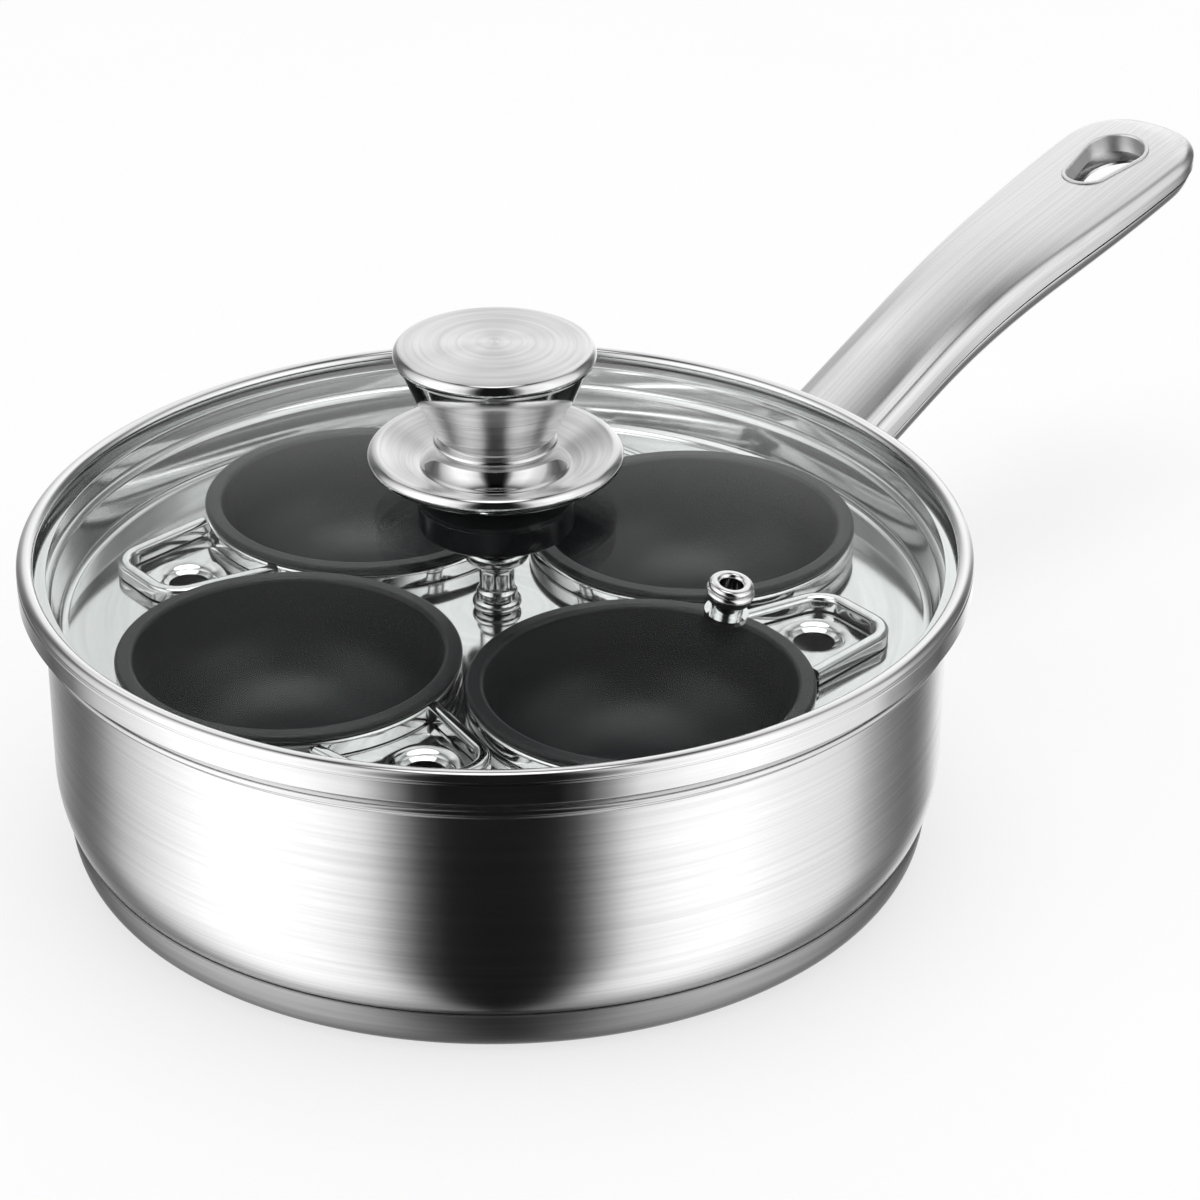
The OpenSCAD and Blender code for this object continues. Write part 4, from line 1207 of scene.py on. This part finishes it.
CAMERA_PLACE = Vector((-543.3, -489.2, 440.6)) * MM
CAMERA_FORWARD = Vector((0.67564, 0.57098, -0.46636))
CAMERA_UP = Vector((0.35351, 0.30421, 0.88458))
SENSOR = 36.0
LENS = SENSOR * 3700 / 1200


def camera():
    """The camera at the photograph's angle."""
    data = bpy.data.cameras.new("camera")
    data.sensor_width = SENSOR
    data.lens = LENS
    data.clip_start, data.clip_end = 0.01, 50
    obj = bpy.data.objects.new("camera", data)
    bpy.context.scene.collection.objects.link(obj)
    back = -CAMERA_FORWARD.normalized()
    right = CAMERA_UP.cross(back).normalized()
    up = back.cross(right)
    obj.matrix_world = Matrix.Translation(CAMERA_PLACE) @ Matrix((right, up, back)).transposed().to_4x4()
    bpy.context.scene.camera = obj


def floor():
    """A plain pale floor that the steel doesn't mirror."""
    size = 14.0
    mesh = bpy.data.meshes.new("floor")
    mesh.from_pydata([(-size, -size, 0), (size, -size, 0), (size, size, 0), (-size, size, 0)], [], [(0, 1, 2, 3)])
    obj = link("floor", mesh)
    material, tree, shader = new_material("pale floor", Metallic=0.0, Roughness=0.9)
    place = tree.nodes.new("ShaderNodeTexCoord").outputs["Object"]
    mixed_colour(tree, noise_node(tree, place, 6.0, 2.0), grey(0.33), grey(0.336), shader)
    shader.inputs["Specular IOR Level"].default_value = 0.0
    # The table itself glows a little, as a light table does, which keeps the shadow soft and pale
    shader.inputs["Emission Color"].default_value = (*grey(1.0), 1)
    shader.inputs["Emission Strength"].default_value = 0.68
    mesh.materials.append(material)
    obj.visible_glossy = False


# What the steel mirrors: the angle away from the camera's side in degrees, then the brightness there
# from below the horizon up to 35 degrees above it, and between 40 and 60 degrees above it
ROOM_BANDS = (
    (-180, 1.0, 0.85), (-168, 0.85, 0.95), (-158, 0.5, 1.05), (-146, 0.24, 1.0), (-132, 0.12, 0.5),
    (-121, 0.2, 0.3), (-110, 0.6, 0.6), (-96, 0.92, 0.9), (-80, 1.25, 1.2), (-62, 1.3, 1.3),
    (-46, 1.15, 1.1), (-34, 0.85, 0.85), (-26, 0.3, 0.3), (-20, 0.05, 0.05), (-14, 0.01, 0.01),
    (14, 0.01, 0.01), (20, 0.05, 0.05), (26, 0.3, 0.3), (34, 0.9, 0.9), (46, 1.15, 1.1), (62, 1.25, 1.25),
    (78, 1.0, 1.0), (100, 0.8, 0.8), (107, 0.42, 0.5), (118, 0.2, 0.4), (132, 0.12, 0.6),
    (143, 0.3, 0.9), (154, 0.9, 1.0), (166, 1.1, 0.95), (180, 1.0, 0.85),
)


def room_light():
    """The studio as a soft room: pale boxes with dark gaps all round, and a bright softbox overhead."""
    world = bpy.data.worlds.new("studio")
    bpy.context.scene.world = world
    world.use_nodes = True
    tree = world.node_tree
    place = tree.nodes.new("ShaderNodeTexCoord").outputs["Generated"]
    turned = tree.nodes.new("ShaderNodeVectorRotate")
    turned.rotation_type = "Z_AXIS"
    turned.inputs["Angle"].default_value = -math.atan2(CAMERA_PLACE.y, CAMERA_PLACE.x)
    tree.links.new(place, turned.inputs["Vector"])
    split = tree.nodes.new("ShaderNodeSeparateXYZ")
    tree.links.new(turned.outputs[0], split.inputs[0])
    x, y, z = split.outputs
    around = half_range(tree, math_node(tree, "DIVIDE", math_node(tree, "ARCTAN2", y, x), math.pi))
    height = half_range(tree, z)
    low = ramp(tree, around, [((a + 180) / 360, value) for a, value, _ in ROOM_BANDS])
    high = ramp(tree, around, [((a + 180) / 360, value) for a, _, value in ROOM_BANDS])
    # Stops are the share of the height from straight down, 0, to straight up, 1
    sides = mix_colour(tree, "MIX", ramp(tree, height, [(0.78, 0.0), (0.83, 1.0)]), low, high)
    fade = ramp(tree, height, [(0.0, 0.18), (0.02, 0.35), (0.05, 0.75), (0.1, 0.95), (0.24, 1.0), (0.85, 1.0), (0.92, 0.74), (0.945, 0.5), (0.965, 0.15)])
    faded = mix_colour(tree, "MULTIPLY", 1.0, sides, fade)
    softbox = ramp(tree, height, [(0.98, 1.1), (1.0, 1.5)])
    room = mix_colour(tree, "MIX", ramp(tree, height, [(0.978, 0.0), (0.99, 1.0)]), faded, softbox)
    tree.links.new(room, tree.nodes["Background"].inputs["Color"])
    tree.nodes["Background"].inputs["Strength"].default_value = 1.0


def half_range(tree, value):
    """Maps -1 to 1 onto 0 to 1."""
    return math_node(tree, "ADD", math_node(tree, "MULTIPLY", value, 0.5), 0.5)


def ramp(tree, factor, stops):
    """A ramp of greys over a factor."""
    node = tree.nodes.new("ShaderNodeValToRGB")
    tree.links.new(factor, node.inputs[0])
    elements = node.color_ramp.elements
    while len(elements) > 1:
        elements.remove(elements[-1])
    elements[0].position, elements[0].color = stops[0][0], (*grey(stops[0][1]), 1)
    for position, value in stops[1:]:
        elements.new(position).color = (*grey(value), 1)
    return node.outputs[0]


def mix_colour(tree, blend, factor, a, b):
    """A colour mix of two sockets, with a number or a socket as its factor."""
    node = tree.nodes.new("ShaderNodeMix")
    node.data_type = "RGBA"
    node.blend_type = blend
    if isinstance(factor, float):
        node.inputs["Factor"].default_value = factor
    else:
        tree.links.new(factor, node.inputs["Factor"])
    tree.links.new(a, node.inputs[6])
    tree.links.new(b, node.inputs[7])
    return node.outputs[2]


def overhead_light():
    """One large soft light above, which gives the soft shadow under the pan."""
    data = bpy.data.lights.new("overhead", "AREA")
    data.shape = "DISK"
    data.size = 1.6
    data.energy = 12
    obj = bpy.data.objects.new("overhead", data)
    obj.location = (0.1, 0.0, 1.8)
    obj.visible_glossy = False
    bpy.context.scene.collection.objects.link(obj)


camera()
floor()
room_light()
overhead_light()
bpy.context.scene.view_settings.view_transform = "Standard"
